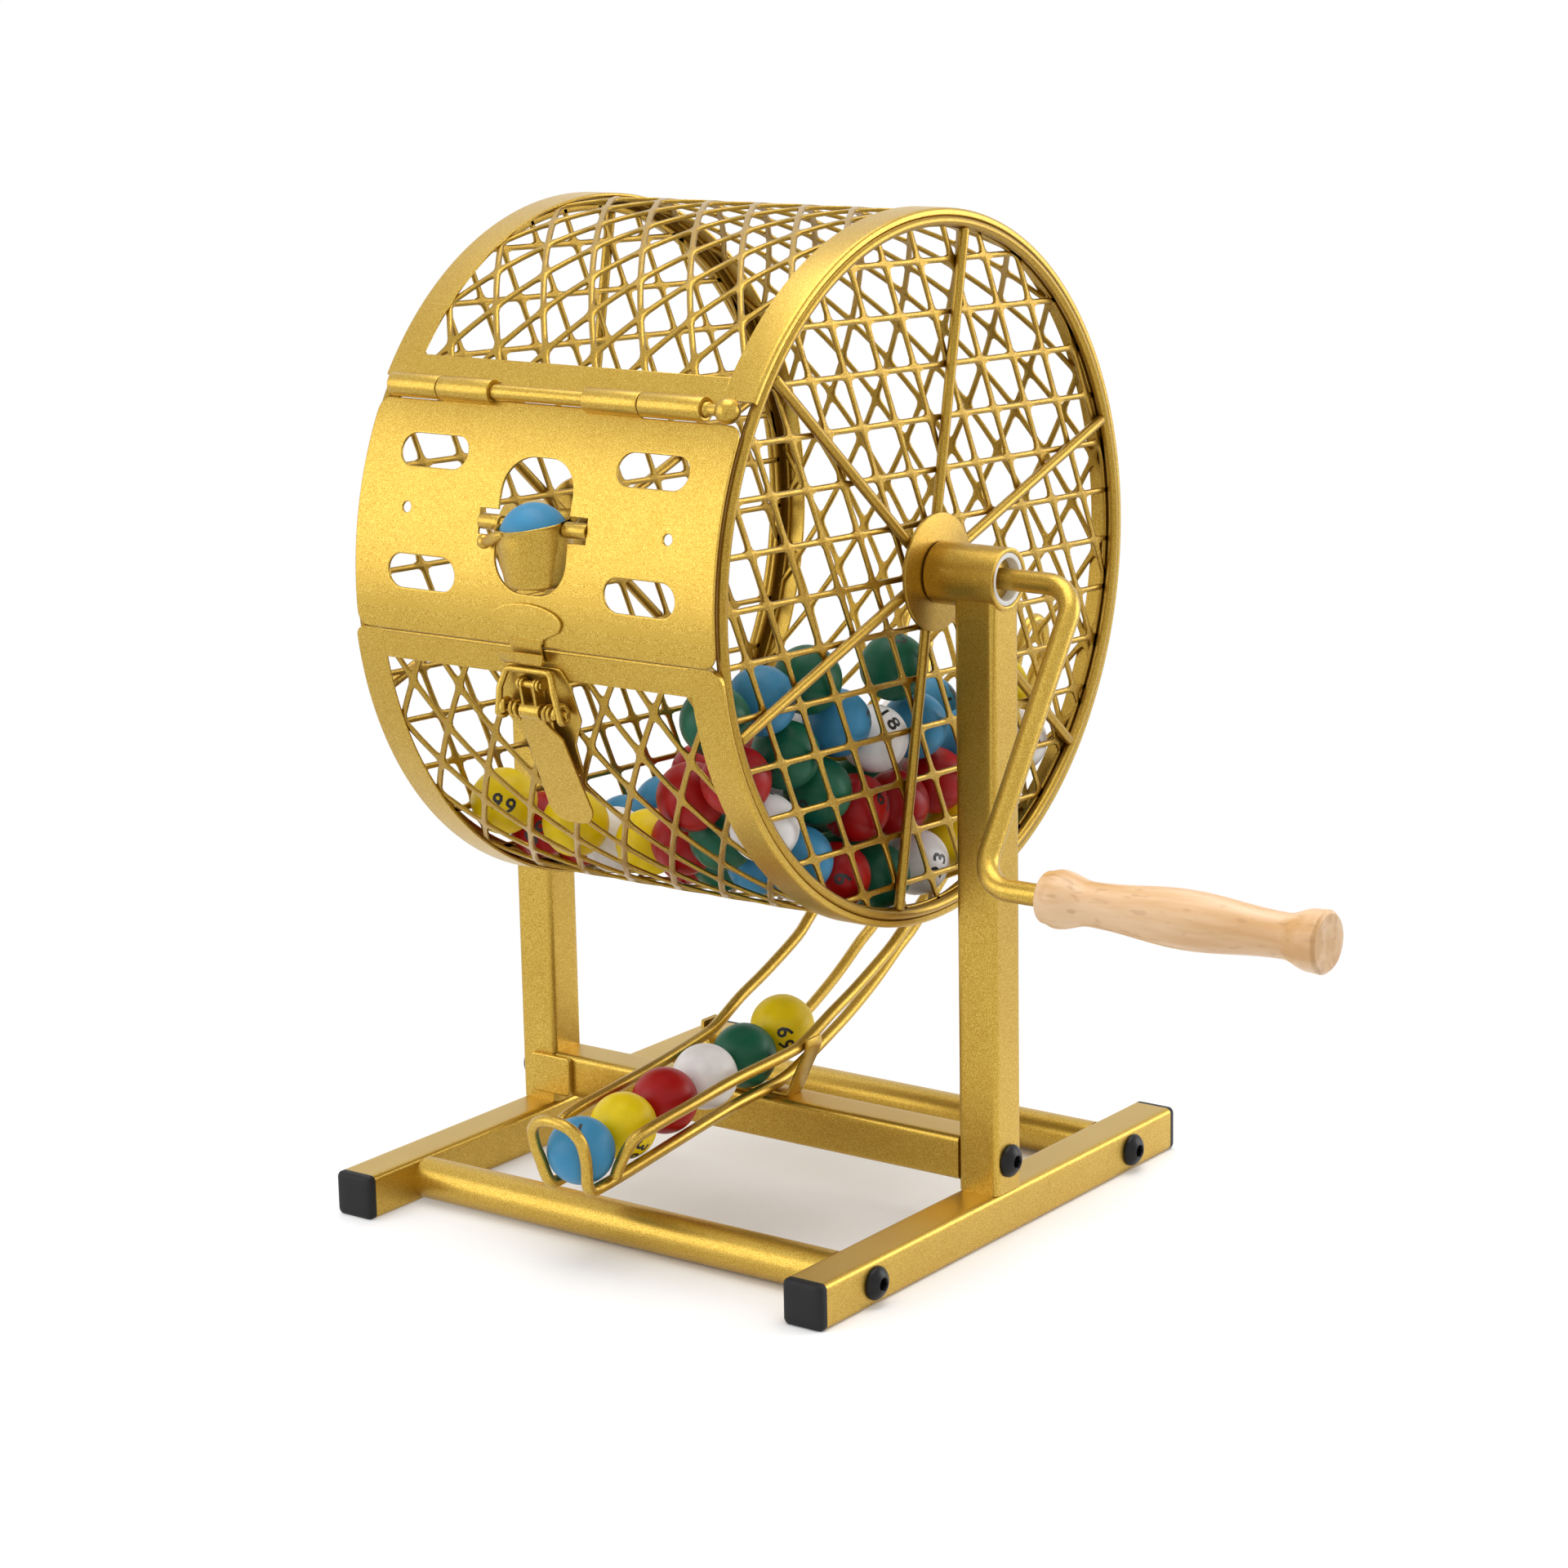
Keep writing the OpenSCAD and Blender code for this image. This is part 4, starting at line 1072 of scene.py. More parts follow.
@dataclass
class Chute:
    """The two chute wires, the hoop at the front and the cradle that carries them."""

    wire_r: float = 2.0
    # Points of the right wire: the upper run from front to back, the bend, and the rack's run back again
    upper: tuple[Spot, ...] = (
        (11, -93.5, 30.5), (12.3, -92.5, 35), (15, -89, 42), (16, -80, 44.2), (16, -60, 46), (16, -36, 48.3),
        (18, -10, 50.5), (18.5, 0, 52.5), (19, 14, 58.5), (19, 29, 64), (19, 47.5, 72), (19.5, 57, 78),
        (20, 75, 90), (21, 90, 103), (22, 102, 118), (23, 112, 135), (24, 119, 152), (25, 122.5, 165),
    )
    bend: tuple[Spot, ...] = ((25.5, 126.5, 172.5), (25.5, 132.5, 175), (25.2, 138, 171.5))
    lower: tuple[Spot, ...] = (
        (24.5, 139, 163.5), (22.5, 134, 152), (19, 128, 133), (15, 119, 115), (11.5, 107, 98), (9, 92, 82.5),
        (8, 80, 72), (8, 70, 66.5), (8, 56, 58.2), (8, 40, 50.5), (8, 23, 44), (8, 8, 38.9), (8, 0, 37.1),
        (8, -8, 36.4), (8, -27, 35.2), (8, -50, 32.7), (8, -83, 28.8), (8, -100, 27.3),
    )
    hoop: tuple[Spot, ...] = (
        (8, -100, 27.3), (8.1, -103, 28), (8.5, -104.8, 31), (9.4, -106, 36), (10.2, -107.6, 41),
        (9.6, -109.2, 46.5), (6, -110.4, 50.3), (0, -110.9, 51.6),
    )
    # The cradle's right half down to the crossbar, as X and Z, then its foot as X and height over the bar
    cradle_arm: tuple[Flat, ...] = ((21.6, 54.2), (21.6, 51), (17.5, 42.6))
    cradle_foot: tuple[Flat, ...] = ((13.6, 1.4), (12.2, 0.7), (8, 0.7), (0, 0.7))
    cradle_half: float = 4.0
    cradle_sheet: float = 1.4

    def build(self, shop: Workshop) -> None:
        """Builds and dresses the chute."""
        path = smooth([Vector(p) for p in self.upper + self.bend + self.lower], 4)
        wire = Shape().sweep(path, self.wire_r, 14)
        shop.piece("right_ball_wire", wire, Finish.GOLD, "stand", ["right_chute_wire"])
        shop.piece("left_ball_wire", wire.mirrored(), Finish.GOLD, "stand", ["left_chute_wire"])
        half = [Vector(p) for p in self.hoop]
        hoop = Shape().sweep(smooth(half + mirrored(half[-2::-1]), 5), self.wire_r, 14)
        shop.piece("front_hoop", hoop, Finish.GOLD, "stand", ["ball_stop"])
        shop.piece("wire_cradle", self.cradle(), Finish.GOLD, "stand", ["chute_cradle"])

    def cradle(self) -> Shape:
        """Builds the bent strip under the wires."""
        top = Stand().crossbar_z + Stand().tube / 2
        arm = [Vector((x, 0, z)) for x, z in self.cradle_arm]
        foot = [Vector((x, 0, top + z)) for x, z in self.cradle_foot]
        path = smooth(arm + foot, 3)
        path += mirrored(path[-2::-1])
        w, h = self.cradle_half, self.cradle_sheet / 2
        section = rounded_box(-w, w, -h, h, 0.3, 2)
        rings = []
        for i, p in enumerate(path):
            way = (path[min(i + 1, len(path) - 1)] - path[max(i - 1, 0)]).normalized()
            up = way.cross(Vector((0, 1, 0)))
            rings.append([p + Vector((0, a, 0)) + up * b for a, b in section])
        return Shape().strip(rings)


@dataclass
class DrumFrame:
    """Sheet bands, crossbars, rim rings, spokes and hubs of the drum."""

    sheet: float = 1.0
    half: float = 72.4
    band_in: float = 60.5
    band_bend: float = 1.2
    band_corner: float = 5.0
    lip_r: float = 112.0
    foot: float = 96.2
    top: float = 415.2
    bar_over: float = 0.3
    upper_t: tuple[float, float, float] = (51.3, 55.3, 56.1)
    lower_t: Flat = (96.2, 101.0)
    knuckle_gaps: tuple[Flat, ...] = ((33.5, 11.8), (-24.8, -46.0))
    hem_r: float = 0.5
    hem_in: float = 0.25
    ring_x: float = 71.2
    ring_d: float = 3.5
    spoke_lean: float = -10.85
    spoke_stops: tuple[float, ...] = (8.0, 9.0, 50.0, 100.0, 108.0)
    weld: float = 0.05
    hub_r: float = 19.0
    hub_sheet: float = 1.2

    def band(self) -> Shape:
        """Builds the right band with its turned-in lip and rounded feet."""
        r0, r1, x0, x1, s = DRUM_R - self.sheet, DRUM_R, self.band_in, self.half, self.sheet
        lip, bend, corner = self.lip_r, self.band_bend, self.band_corner
        profile = (
            [(x0 + 0.25, r0), (x0, r0 + 0.3), (x0, r1 - 0.3), (x0 + 0.25, r1)]
            + arc((x1 - bend, r1 - bend), bend, 90, 0, 5)
            + [(x1, lip + 0.3), (x1 - 0.3, lip), (x1 - s + 0.2, lip), (x1 - s, lip + 0.2)]
            + [(x1 - s, r0 - 0.3), (x1 - s - 0.3, r0)]
        )
        turns = [self.foot + math.degrees(v / DRUM_R) for v in (0, 0.3, 0.8, 1.5, 2.5, 3.7, corner)]
        last = turns[-1]
        rest = int((self.top - last) / 1.8)
        turns += [last + (self.top - last) * i / rest for i in range(1, rest + 1)]
        rings = []
        for t in turns:
            gone = math.radians(t - self.foot) * DRUM_R
            cut = 0 if gone >= corner else corner - math.sqrt(max(corner**2 - (corner - gone) ** 2, 0))
            rings.append([polar(t, r, min(x, self.half - cut)) for x, r in profile])
        return Shape().strip(rings)

    def crossbars(self, shop: Workshop) -> None:
        """Builds the bars over and under the door: the upper has gaps for the knuckles, the lower a hem."""
        side = self.band_in + self.bar_over
        lift = unrolled(DRUM_R - self.sheet)
        start, low, deep = (t * DEGREE for t in self.upper_t)
        outline = [(-side, start), (side, start), (side, deep)]
        for a, b in self.knuckle_gaps:
            outline += [(a, deep), (a, low), (b, low), (b, deep)]
        outline.append((-side, deep))
        upper = Shape().plate([outline], 0.0, self.sheet, lift, 0.3, 2.2)
        shop.piece("upper_sheet_bar", upper, Finish.GOLD, "drum", ["upper_crossbar"])
        start, end = (t * DEGREE for t in self.lower_t)
        outline = [(-side, start), (side, start), (side, end), (-side, end)]
        lower = Shape().plate([outline], 0.0, self.sheet, lift, 0.3, 2.2)
        hem = [
            polar(self.lower_t[0] + 0.3, DRUM_R - self.hem_in, x) for x in (-self.band_in, 0.0, self.band_in)
        ]
        lower.sweep(hem, self.hem_r, 12)
        shop.piece("lower_sheet_bar", lower, Finish.GOLD, "drum", ["lower_crossbar"])

    def build(self, shop: Workshop, copies: Copies) -> None:
        """Builds and dresses the drum's frame."""
        band = self.band()
        shop.piece("right_sheet_band", band, Finish.GOLD, "drum", ["right_band"])
        shop.piece("left_sheet_band", band.mirrored(), Finish.GOLD, "drum", ["left_band"])
        self.crossbars(shop)
        r = self.ring_d / 2
        ring = [(self.ring_x + x, self.lip_r - r + y) for x, y in arc((0, 0), r, 0, 345, 11)]
        spoke = Shape().sweep([Vector((0, 0, z)) for z in self.spoke_stops], r, 16)
        x = self.ring_x + self.weld + r
        profile = (
            [(x, 0.0)]
            + arc((x + 0.3, self.hub_r - 0.3), 0.3, 180, 90, 3)
            + arc((x + self.hub_sheet - 0.3, self.hub_r - 0.3), 0.3, 90, 0, 3)
            + [(x + self.hub_sheet, 0.0)]
        )
        for side, name in SIDES:
            place = on_axle(side)
            hoop = Shape().lathe(ring, turns=180, place=place)
            shop.piece(f"{name}_rim_hoop", hoop, Finish.THIN_GOLD, "drum", [f"{name}_rim_ring"])
            middle = Vector((side * (self.ring_x + self.weld), 0, AXLE_Z))
            places = [(middle, Euler((math.radians(self.spoke_lean - 60 * i), 0, 0))) for i in range(6)]
            mesh = copies.make(shop, spoke, places, Finish.THIN_GOLD)
            shop.piece(f"{name}_wire_spokes", mesh, Finish.THIN_GOLD, "drum", [f"{name}_spokes"])
            disc = Shape().lathe(profile, closed=False, turns=96, place=place)
            shop.piece(f"{name}_hub_plate", disc, Finish.THIN_GOLD, "drum", [f"{name}_hub_disc"])


@dataclass
class DrumMesh:
    """Expanded metal of the drum's wall and ends."""

    across: float = 19.27
    turn: float = 16.0
    strand: float = 1.9
    thick: float = 1.2
    edge: float = 0.3
    bond_half: float = 2.3
    corner_soft: tuple[float, float] = (2.0, 2.6)
    wall_r: float = 112.1
    wall_x: float = 67.5
    wall_bond: Flat = (-33.36, 48.8)
    start: float = 98.0
    end: float = 414.0
    border: float = 1.5
    end_x: float = 68.25
    end_r: float = 110.3
    open_r: float = 108.2
    end_bond: Flat = (-55.0, 75.4)
    end_lean: float = 33.5

    @property
    def long_half(self) -> float:
        """Returns half the length of a diamond."""
        return math.radians(self.turn) * DRUM_R / 2

    def cell(self) -> bpy.types.Mesh:
        """Builds one diamond: half-strands round a hole with soft corners."""
        a, b, c = self.across / 2, self.long_half, self.edge
        back = (self.strand / 2) * math.hypot(a, b) / (a * b)
        corner = [Vector(p) for p in ((a, 0.0), (0.0, b), (-a, 0.0), (0.0, -b))]
        outer, inner = [], []
        for k, p in enumerate(corner):
            before, after = corner[k - 1], corner[(k + 1) % 4]
            soft = self.corner_soft[k % 2]
            towards = [(q - p).normalized() * self.bond_half for q in (before, after)]
            outer += [p + towards[0], p, p + towards[1]]
            p, before, after = (q * (1 - back) for q in (p, before, after))
            left, right = p + (before - p).normalized() * soft, p + (after - p).normalized() * soft
            inner += [left, (left + 2 * p + right) / 4, right]
            outer.append((corner[k] + corner[(k + 1) % 4]) / 2)
            inner.append((p + after) / 2)
        rim = [i.lerp(o, min(c / (o - i).length, 0.5)) for i, o in zip(inner, outer)]
        rows = (
            (outer, self.thick), (rim, self.thick), (inner, self.thick - c),
            (inner, c), (rim, 0.0), (outer, 0.0)
        )
        rings = [[Vector((p.x, p.y, h)) for p in loop] for loop, h in rows]
        return Shape().strip(rings, caps=False).mesh("diamond")

    def wall(self, shop: Workshop, sheet: ExpandedSheet) -> None:
        """Builds the wall's mesh with its plain border."""
        rows = 21
        x, t = self.wall_bond
        values = {
            "Columns": 9, "Rows": rows, "Step Across": self.across, "Step Along": 2 * self.long_half,
            "Middle Across": x + 2 * self.across,
            "Middle Along": (t + self.turn * (3 + (rows - 1) / 2)) * DEGREE,
            "Finish": shop.materials[Finish.THIN_GOLD],
        }
        planes = [(Vector((s * self.wall_x, 0, 0)), Vector((s, 0, 0))) for s in (-1, 1)]
        planes += [
            (Vector((0, t * DEGREE, 0)), Vector((0, s, 0))) for s, t in ((-1, self.start), (1, self.end))
        ]
        mesh = sheet.cut(self.cell(), values, planes, lambda p: polar(p.y / DEGREE, self.wall_r + p.z, p.x))
        border = Shape()
        low, high = self.wall_r, self.wall_r + self.thick
        n = 160
        turns = [self.start + (self.end - self.start) * i / n for i in range(n + 1)]
        for x in (-self.wall_x, self.wall_x - self.border):
            section = rounded_box(x, x + self.border, low, high, 0.2, 2)
            border.strip([[polar(t, r, a) for a, r in section] for t in turns])
        for t in (self.start, self.end - 1):
            section = rounded_box(t * DEGREE, (t + 1) * DEGREE, low, high, 0.2, 2)
            border.strip([[polar(a / DEGREE, r, x) for a, r in section] for x in (-self.wall_x, self.wall_x)])
        shop.piece("expanded_wall", joined(mesh, border), Finish.THIN_GOLD, "drum", ["wall_mesh"], 50)

    def ends(self, shop: Workshop, sheet: ExpandedSheet) -> None:
        """Builds the mesh of both ends with its plain border."""
        lean = math.radians(self.end_lean)
        bond = Vector(self.end_bond)
        across, along = Vector((math.sin(lean), math.cos(lean))), Vector((math.cos(lean), -math.sin(lean)))
        u, v = bond.dot(across), bond.dot(along)
        step = 2 * self.long_half
        values = {
            "Columns": 14, "Rows": 9, "Step Across": self.across, "Step Along": step,
            "Middle Across": u - (round(u / self.across) + 0.5) * self.across,
            "Middle Along": v - round(v / step) * step,
            "Finish": shop.materials[Finish.THIN_GOLD],
        }
        planes = []
        sides = 60
        for k in range(sides):
            a = 2 * math.pi * k / sides
            out = Vector((math.cos(a), math.sin(a), 0))
            planes.append((out * (self.end_r - 0.5), out))
        flat = sheet.cut(self.cell(), values, planes, lambda p: p)
        for side, name in SIDES:
            x0 = self.end_x if side > 0 else -self.end_x - self.thick
            mesh = flat.copy()
            mesh.transform(Matrix((
                (0, 0, 1, x0), (across.x, along.x, 0, 0), (across.y, along.y, 0, AXLE_Z), (0, 0, 0, 1),
            )))
            ring = rounded_box(x0, x0 + self.thick, self.open_r, self.end_r, 0.25, 2)
            whole = joined(mesh, Shape().lathe(ring, turns=160, place=on_axle()))
            shop.piece(f"{name}_expanded_end", whole, Finish.THIN_GOLD, "drum", [f"{name}_end_mesh"], 50)

    def build(self, shop: Workshop) -> None:
        """Builds and dresses the mesh of the wall and both ends."""
        sheet = ExpandedSheet()
        self.wall(shop, sheet)
        self.ends(shop, sheet)


@dataclass
class Crank:
    """The bent crank and its wooden grip."""

    rod_r: float = 3.5
    length: float = 100.5
    lean: float = 34.5
    shaft_x: float = 96.9
    arm_x: float = 126.0
    end_x: float = 234.0
    bend: float = 11.0
    grip_x: float = 148.8
    fit: float = 0.05
    # Where the grip's outline changes: distance from its inner end, and radius
    stations: tuple[Flat, ...] = (
        (0, 5), (2, 8), (6.5, 9), (17.5, 6.8), (50, 9), (83, 6.8), (92, 9.3), (95.5, 9.5), (96.7, 8.5),
    )

    def build(self, shop: Workshop) -> None:
        """Builds and dresses the crank and the grip."""
        turn = on_axle() @ Matrix.Rotation(math.radians(-self.lean), 4, "X")
        x, r, low = self.arm_x, self.bend, -self.length
        flat = [(self.shaft_x, 0.0), (100.0, 0.0), (108.0, 0.0)]
        flat += arc((x - r, -r), r, 90, 0, 12)
        flat += [(x, -30.0), (x, -50.0), (x, -75.0)]
        flat += arc((x + r, low + r), r, 180, 270, 12)
        flat += [(x + r + 5, low), (200.0, low), (self.end_x, low)]
        path = [turn @ Vector((a, 0, b)) for a, b in flat]
        shop.piece("bent_crank", Shape().sweep(path, self.rod_r, 24), Finish.GOLD, "drum", ["crank_rod"])
        profile: list[Flat] = []
        n = 8
        for (a, p), (b, q) in zip(self.stations, self.stations[1:]):
            profile += [
                (a + (b - a) * j / n, p + (q - p) * (1 - math.cos(math.pi * j / n)) / 2) for j in range(n)
            ]
        end = self.stations[-1]
        closed = [(0.0, self.rod_r + self.fit), *profile, end, (end[0], 0.0)]
        place = turn @ Matrix.Translation((self.grip_x, 0, low))
        grip = Shape().lathe(closed, closed=False, turns=72, place=place)
        shop.piece("turned_grip", grip, Finish.BEECH, "grip", ["wooden_grip"], 50)


@dataclass
class Door:
    """The door's curved panel and its hinge."""

    middle: float = 77.0
    sheet: float = 1.0
    top_t: float = 58.28
    clear_t: float = 59.12
    foot_t: float = 96.12
    sides: Flat = (-70.5, 71.0)
    corner: float = 5.0
    tongue_x: Flat = (-46.0, 33.5)
    slot_x: float = 43.0
    slot_t: Flat = (67.3, 86.5)
    slot_half: Flat = (13.5, 5.25)
    slot_corner: float = 5.2
    holes: tuple[Flat, ...] = ((-50.5, 76.5), (52.5, 77.3))
    hole_r: float = 1.75
    window_t: Flat = (66.8, 88.0)
    window_x: tuple[float, ...] = (-13.5, -2.5, 3.5, 14.5)
    window_r: float = 11.0
    sleeve_x: Flat = (-20.6, 21.6)
    sleeve_z: Flat = (-3.2, 4.8)
    hinge_t: float = 57.2
    hinge_r: float = 115.4
    barrel_r: float = 3.9
    frame_knuckles: tuple[Flat, ...] = ((-66.0, -46.15), (33.65, 57.0))
    door_knuckles: tuple[Flat, ...] = ((-45.85, -25.0), (12.0, 33.35))
    pin_r: float = 2.4
    fit: float = 0.05
    pin_neck: float = 1.8
    pin_ball: Flat = (65.0, 4.0)

    def chord(self, t: float) -> float:
        """Returns the flat height of an angle across the door."""
        return DRUM_R * math.sin(math.radians(t - self.middle))

    def lift(self, x: float, c: float, h: float) -> Vector:
        """Puts a flat point of the door on the drum's curve."""
        return polar(self.middle + math.degrees(math.asin(c / DRUM_R)), DRUM_R - self.sheet + h, x)

    def build(self, shop: Workshop) -> None:
        """Builds and dresses the door and the hinge."""
        shop.piece("door_sheet", self.panel(), Finish.GOLD, "door", ["door_panel"], 40)
        place = Matrix.Translation(polar(self.hinge_t, self.hinge_r))
        for name, body, spans, node in (
            ("frame_knuckles", "drum", self.frame_knuckles, "frame_hinge_barrels"),
            ("door_knuckles", "door", self.door_knuckles, "door_hinge_barrels"),
        ):
            shape = Shape()
            for a, b in spans:
                section = rounded_box(a, b, self.pin_r + self.fit, self.barrel_r, 0.3, 3)
                shape.lathe(section, turns=40, place=place)
            shop.piece(name, shape, Finish.GOLD, body, [node])
        r, neck, (ball_x, ball_r) = self.pin_r, self.pin_neck, self.pin_ball
        profile = [
            (-66.0, 0.0), (-66.0, r - 0.4), (-65.6, r), (57.8, r), (58.3, r - 0.2), (58.6, neck), (61.6, neck)
        ]
        profile += arc((ball_x, 0.0), ball_r, 150, 0, 16)
        pin = Shape().lathe(profile, closed=False, turns=40, place=place)
        shop.piece("ball_end_pin", pin, Finish.GOLD, "drum", ["hinge_pin"])

    def panel(self) -> Shape:
        """Builds the sheet with its slots, small holes and the opening behind the cup."""
        top, clear, foot = (self.chord(t) for t in (self.top_t, self.clear_t, self.foot_t))
        (left, right), (tongue_left, tongue_right) = self.sides, self.tongue_x
        body = softened([(right, clear), (right, foot), (left, foot), (left, clear)], self.corner, 6)
        tongue = [(tongue_left, clear), (tongue_left, top), (tongue_right, top), (tongue_right, clear)]
        w, h = self.slot_half
        slots = [
            rounded_box(x - w, x + w, self.chord(t) - h, self.chord(t) + h, self.slot_corner, 8)
            for x in (-self.slot_x, self.slot_x) for t in self.slot_t
        ]
        holes = [arc((x, self.chord(t)), self.hole_r, 0, 337.5, 15) for x, t in self.holes]
        outlines = [self.divided(body + tongue, 3.0), self.cutout(), *slots, *holes]
        return Shape().plate(outlines, 0.0, self.sheet, self.lift, 0.28, 3.0)

    @staticmethod
    def divided(loop: Sequence[Flat], step: float) -> list[Flat]:
        """Returns a loop whose sides are no longer than a step."""
        out: list[Flat] = []
        for i, (bx, by) in enumerate(loop):
            ax, ay = loop[i - 1]
            n = max(1, math.ceil(math.hypot(bx - ax, by - ay) / step))
            out += [(ax + (bx - ax) * j / n, ay + (by - ay) * j / n) for j in range(n)]
        return out

    def cutout(self) -> list[Flat]:
        """Returns the outline of the opening behind the cup, with a gap each side for its bearings."""
        left, bend_left, bend_right, right = self.window_x
        (sleeve_left, sleeve_right), (low, high), r = self.sleeve_x, self.sleeve_z, self.window_r
        top, foot = (self.chord(t) for t in self.window_t)
        loop = (
            [(right, high), (sleeve_right, high), (sleeve_right, low), (right, low)]
            + arc((bend_right, top + r), r, 0, -90, 10)
            + arc((bend_left, top + r), r, -90, -180, 10)
            + [(left, low), (sleeve_left, low), (sleeve_left, high), (left, high)]
            + arc((bend_left, foot - r), r, 180, 90, 10)
            + arc((bend_right, foot - r), r, 90, 0, 10)
        )
        return self.divided(loop, 3.0)


@dataclass
class Cup:
    """The ball cup that swings in the door, and its two bearings."""

    x: float = 0.2
    t: float = 77.4
    axis_r: float = 112.9
    r: float = 12.2
    base_r: float = 9.7
    base_bend: float = 2.0
    wall: float = 0.45
    rise: float = 1.5
    depth: float = 20.0
    # How far the rim flares, towards which side, and how steeply it rises along X and Y
    flare: float = 3.3
    flare_way: Flat = (0.805, 0.593)
    lean: Flat = (0.095, 0.144)
    shaped: float = 4.0
    side_room: float = 12.45
    pin_r: float = 1.6
    pin_end: float = 18.2
    sleeve_r: float = 2.5
    sleeve_x: Flat = (-20.6, 21.6)
    fit: float = 0.05
    # The stop lug's arm, from the cup to its ball, and the arm's radius at each point
    arm: tuple[Spot, ...] = (
        (-3.5, -11.2, -1.2), (-6.2, -10.3, -2.0), (-9, -9.0, -3.3), (-12.5, -7, -4.6), (-15.9, -5.1, -5.3),
    )
    arm_radii: tuple[float, ...] = (0.9, 1.6, 1.85, 1.6, 1.45)
    lug_r: float = 2.3

    def body(self, middle: Vector) -> Shape:
        """Builds the cup itself, whose rim leans and flares towards the back right."""
        base, w, r, rise, bend = self.rise - self.depth, self.wall, self.r, self.rise, self.base_bend
        corner = [(base + bend + b, self.base_r - bend + a) for a, b in arc((0, 0), bend, -90, 0, 6)]
        inner = [(base + bend + b, self.base_r - bend + a) for a, b in arc((0, 0), bend - w, 0, -90, 6)]
        wall = [(h, r - 0.4 - 0.02 * (rise - h)) for h in (rise - 8, rise - 5, rise - 3)]
        profile = [(base, 0.0)] + corner + wall
        profile += [
            (rise - 1.6, r - 0.3), (rise - 0.7, r), (rise - 0.3, r + 0.3), (rise, r + 0.2), (rise + 0.1, r),
            (rise, r - 0.25), (rise - 0.7, r - w - 0.1), (rise - 4, r - 0.5 - w), (rise - 8, r - 0.6 - w),
        ]
        profile += inner + [(base + w, 0.0)]
        turns = 96
        rings = []
        for h, radius in profile:
            share = min(max((h - rise + self.shaped) / self.shaped, 0.0), 1.0)
            ring = []
            for i in range(turns):
                a = 2 * math.pi * i / turns
                x, y = math.cos(a), math.sin(a)
                towards = x * self.flare_way[0] + y * self.flare_way[1]
                out = radius + self.flare * share**2 * max(towards, 0.0) ** 2
                clear = self.side_room + 1.3 * min(max((abs(out * y) - 3) / 2, 0.0), 1.0)
                out = min(out, clear / max(abs(x), 1e-6))
                lean = share * out * (x * self.lean[0] + y * self.lean[1])
                ring.append(middle + Vector((x * out, y * out, h + lean)))
            rings.append(ring)
        return Shape().strip(rings, caps=False)

    def build(self, shop: Workshop) -> None:
        """Builds and dresses the cup and its bearings."""
        middle = polar(self.t, self.axis_r, self.x)
        shape = self.body(middle)
        for side in (-1, 1):
            path = [middle + Vector((side * x, 0, 0)) for x in (self.r - 0.8, 14.0, self.pin_end)]
            shape.sweep(path, self.pin_r, 20)
        arm = [middle + Vector(p) for p in self.arm]
        shape.sweep(arm, self.arm_radii, 16)
        ball = arc((0, 0), self.lug_r, 180, 0, 12)
        shape.lathe(ball, closed=False, turns=24, place=Matrix.Translation(arm[-1]))
        shop.piece("tilting_cup", shape, Finish.GOLD, "cup", ["ball_cup"])
        sleeves = Shape()
        near, (left, right) = self.r + 0.4, self.sleeve_x
        for a, b in ((near, right - self.x), (left - self.x, -near)):
            section = rounded_box(a, b, self.pin_r + self.fit, self.sleeve_r, 0.2, 3)
            sleeves.lathe(section, turns=32, place=Matrix.Translation(middle))
        shop.piece("cup_sleeves", sleeves, Finish.GOLD, "door", ["cup_bearings"])


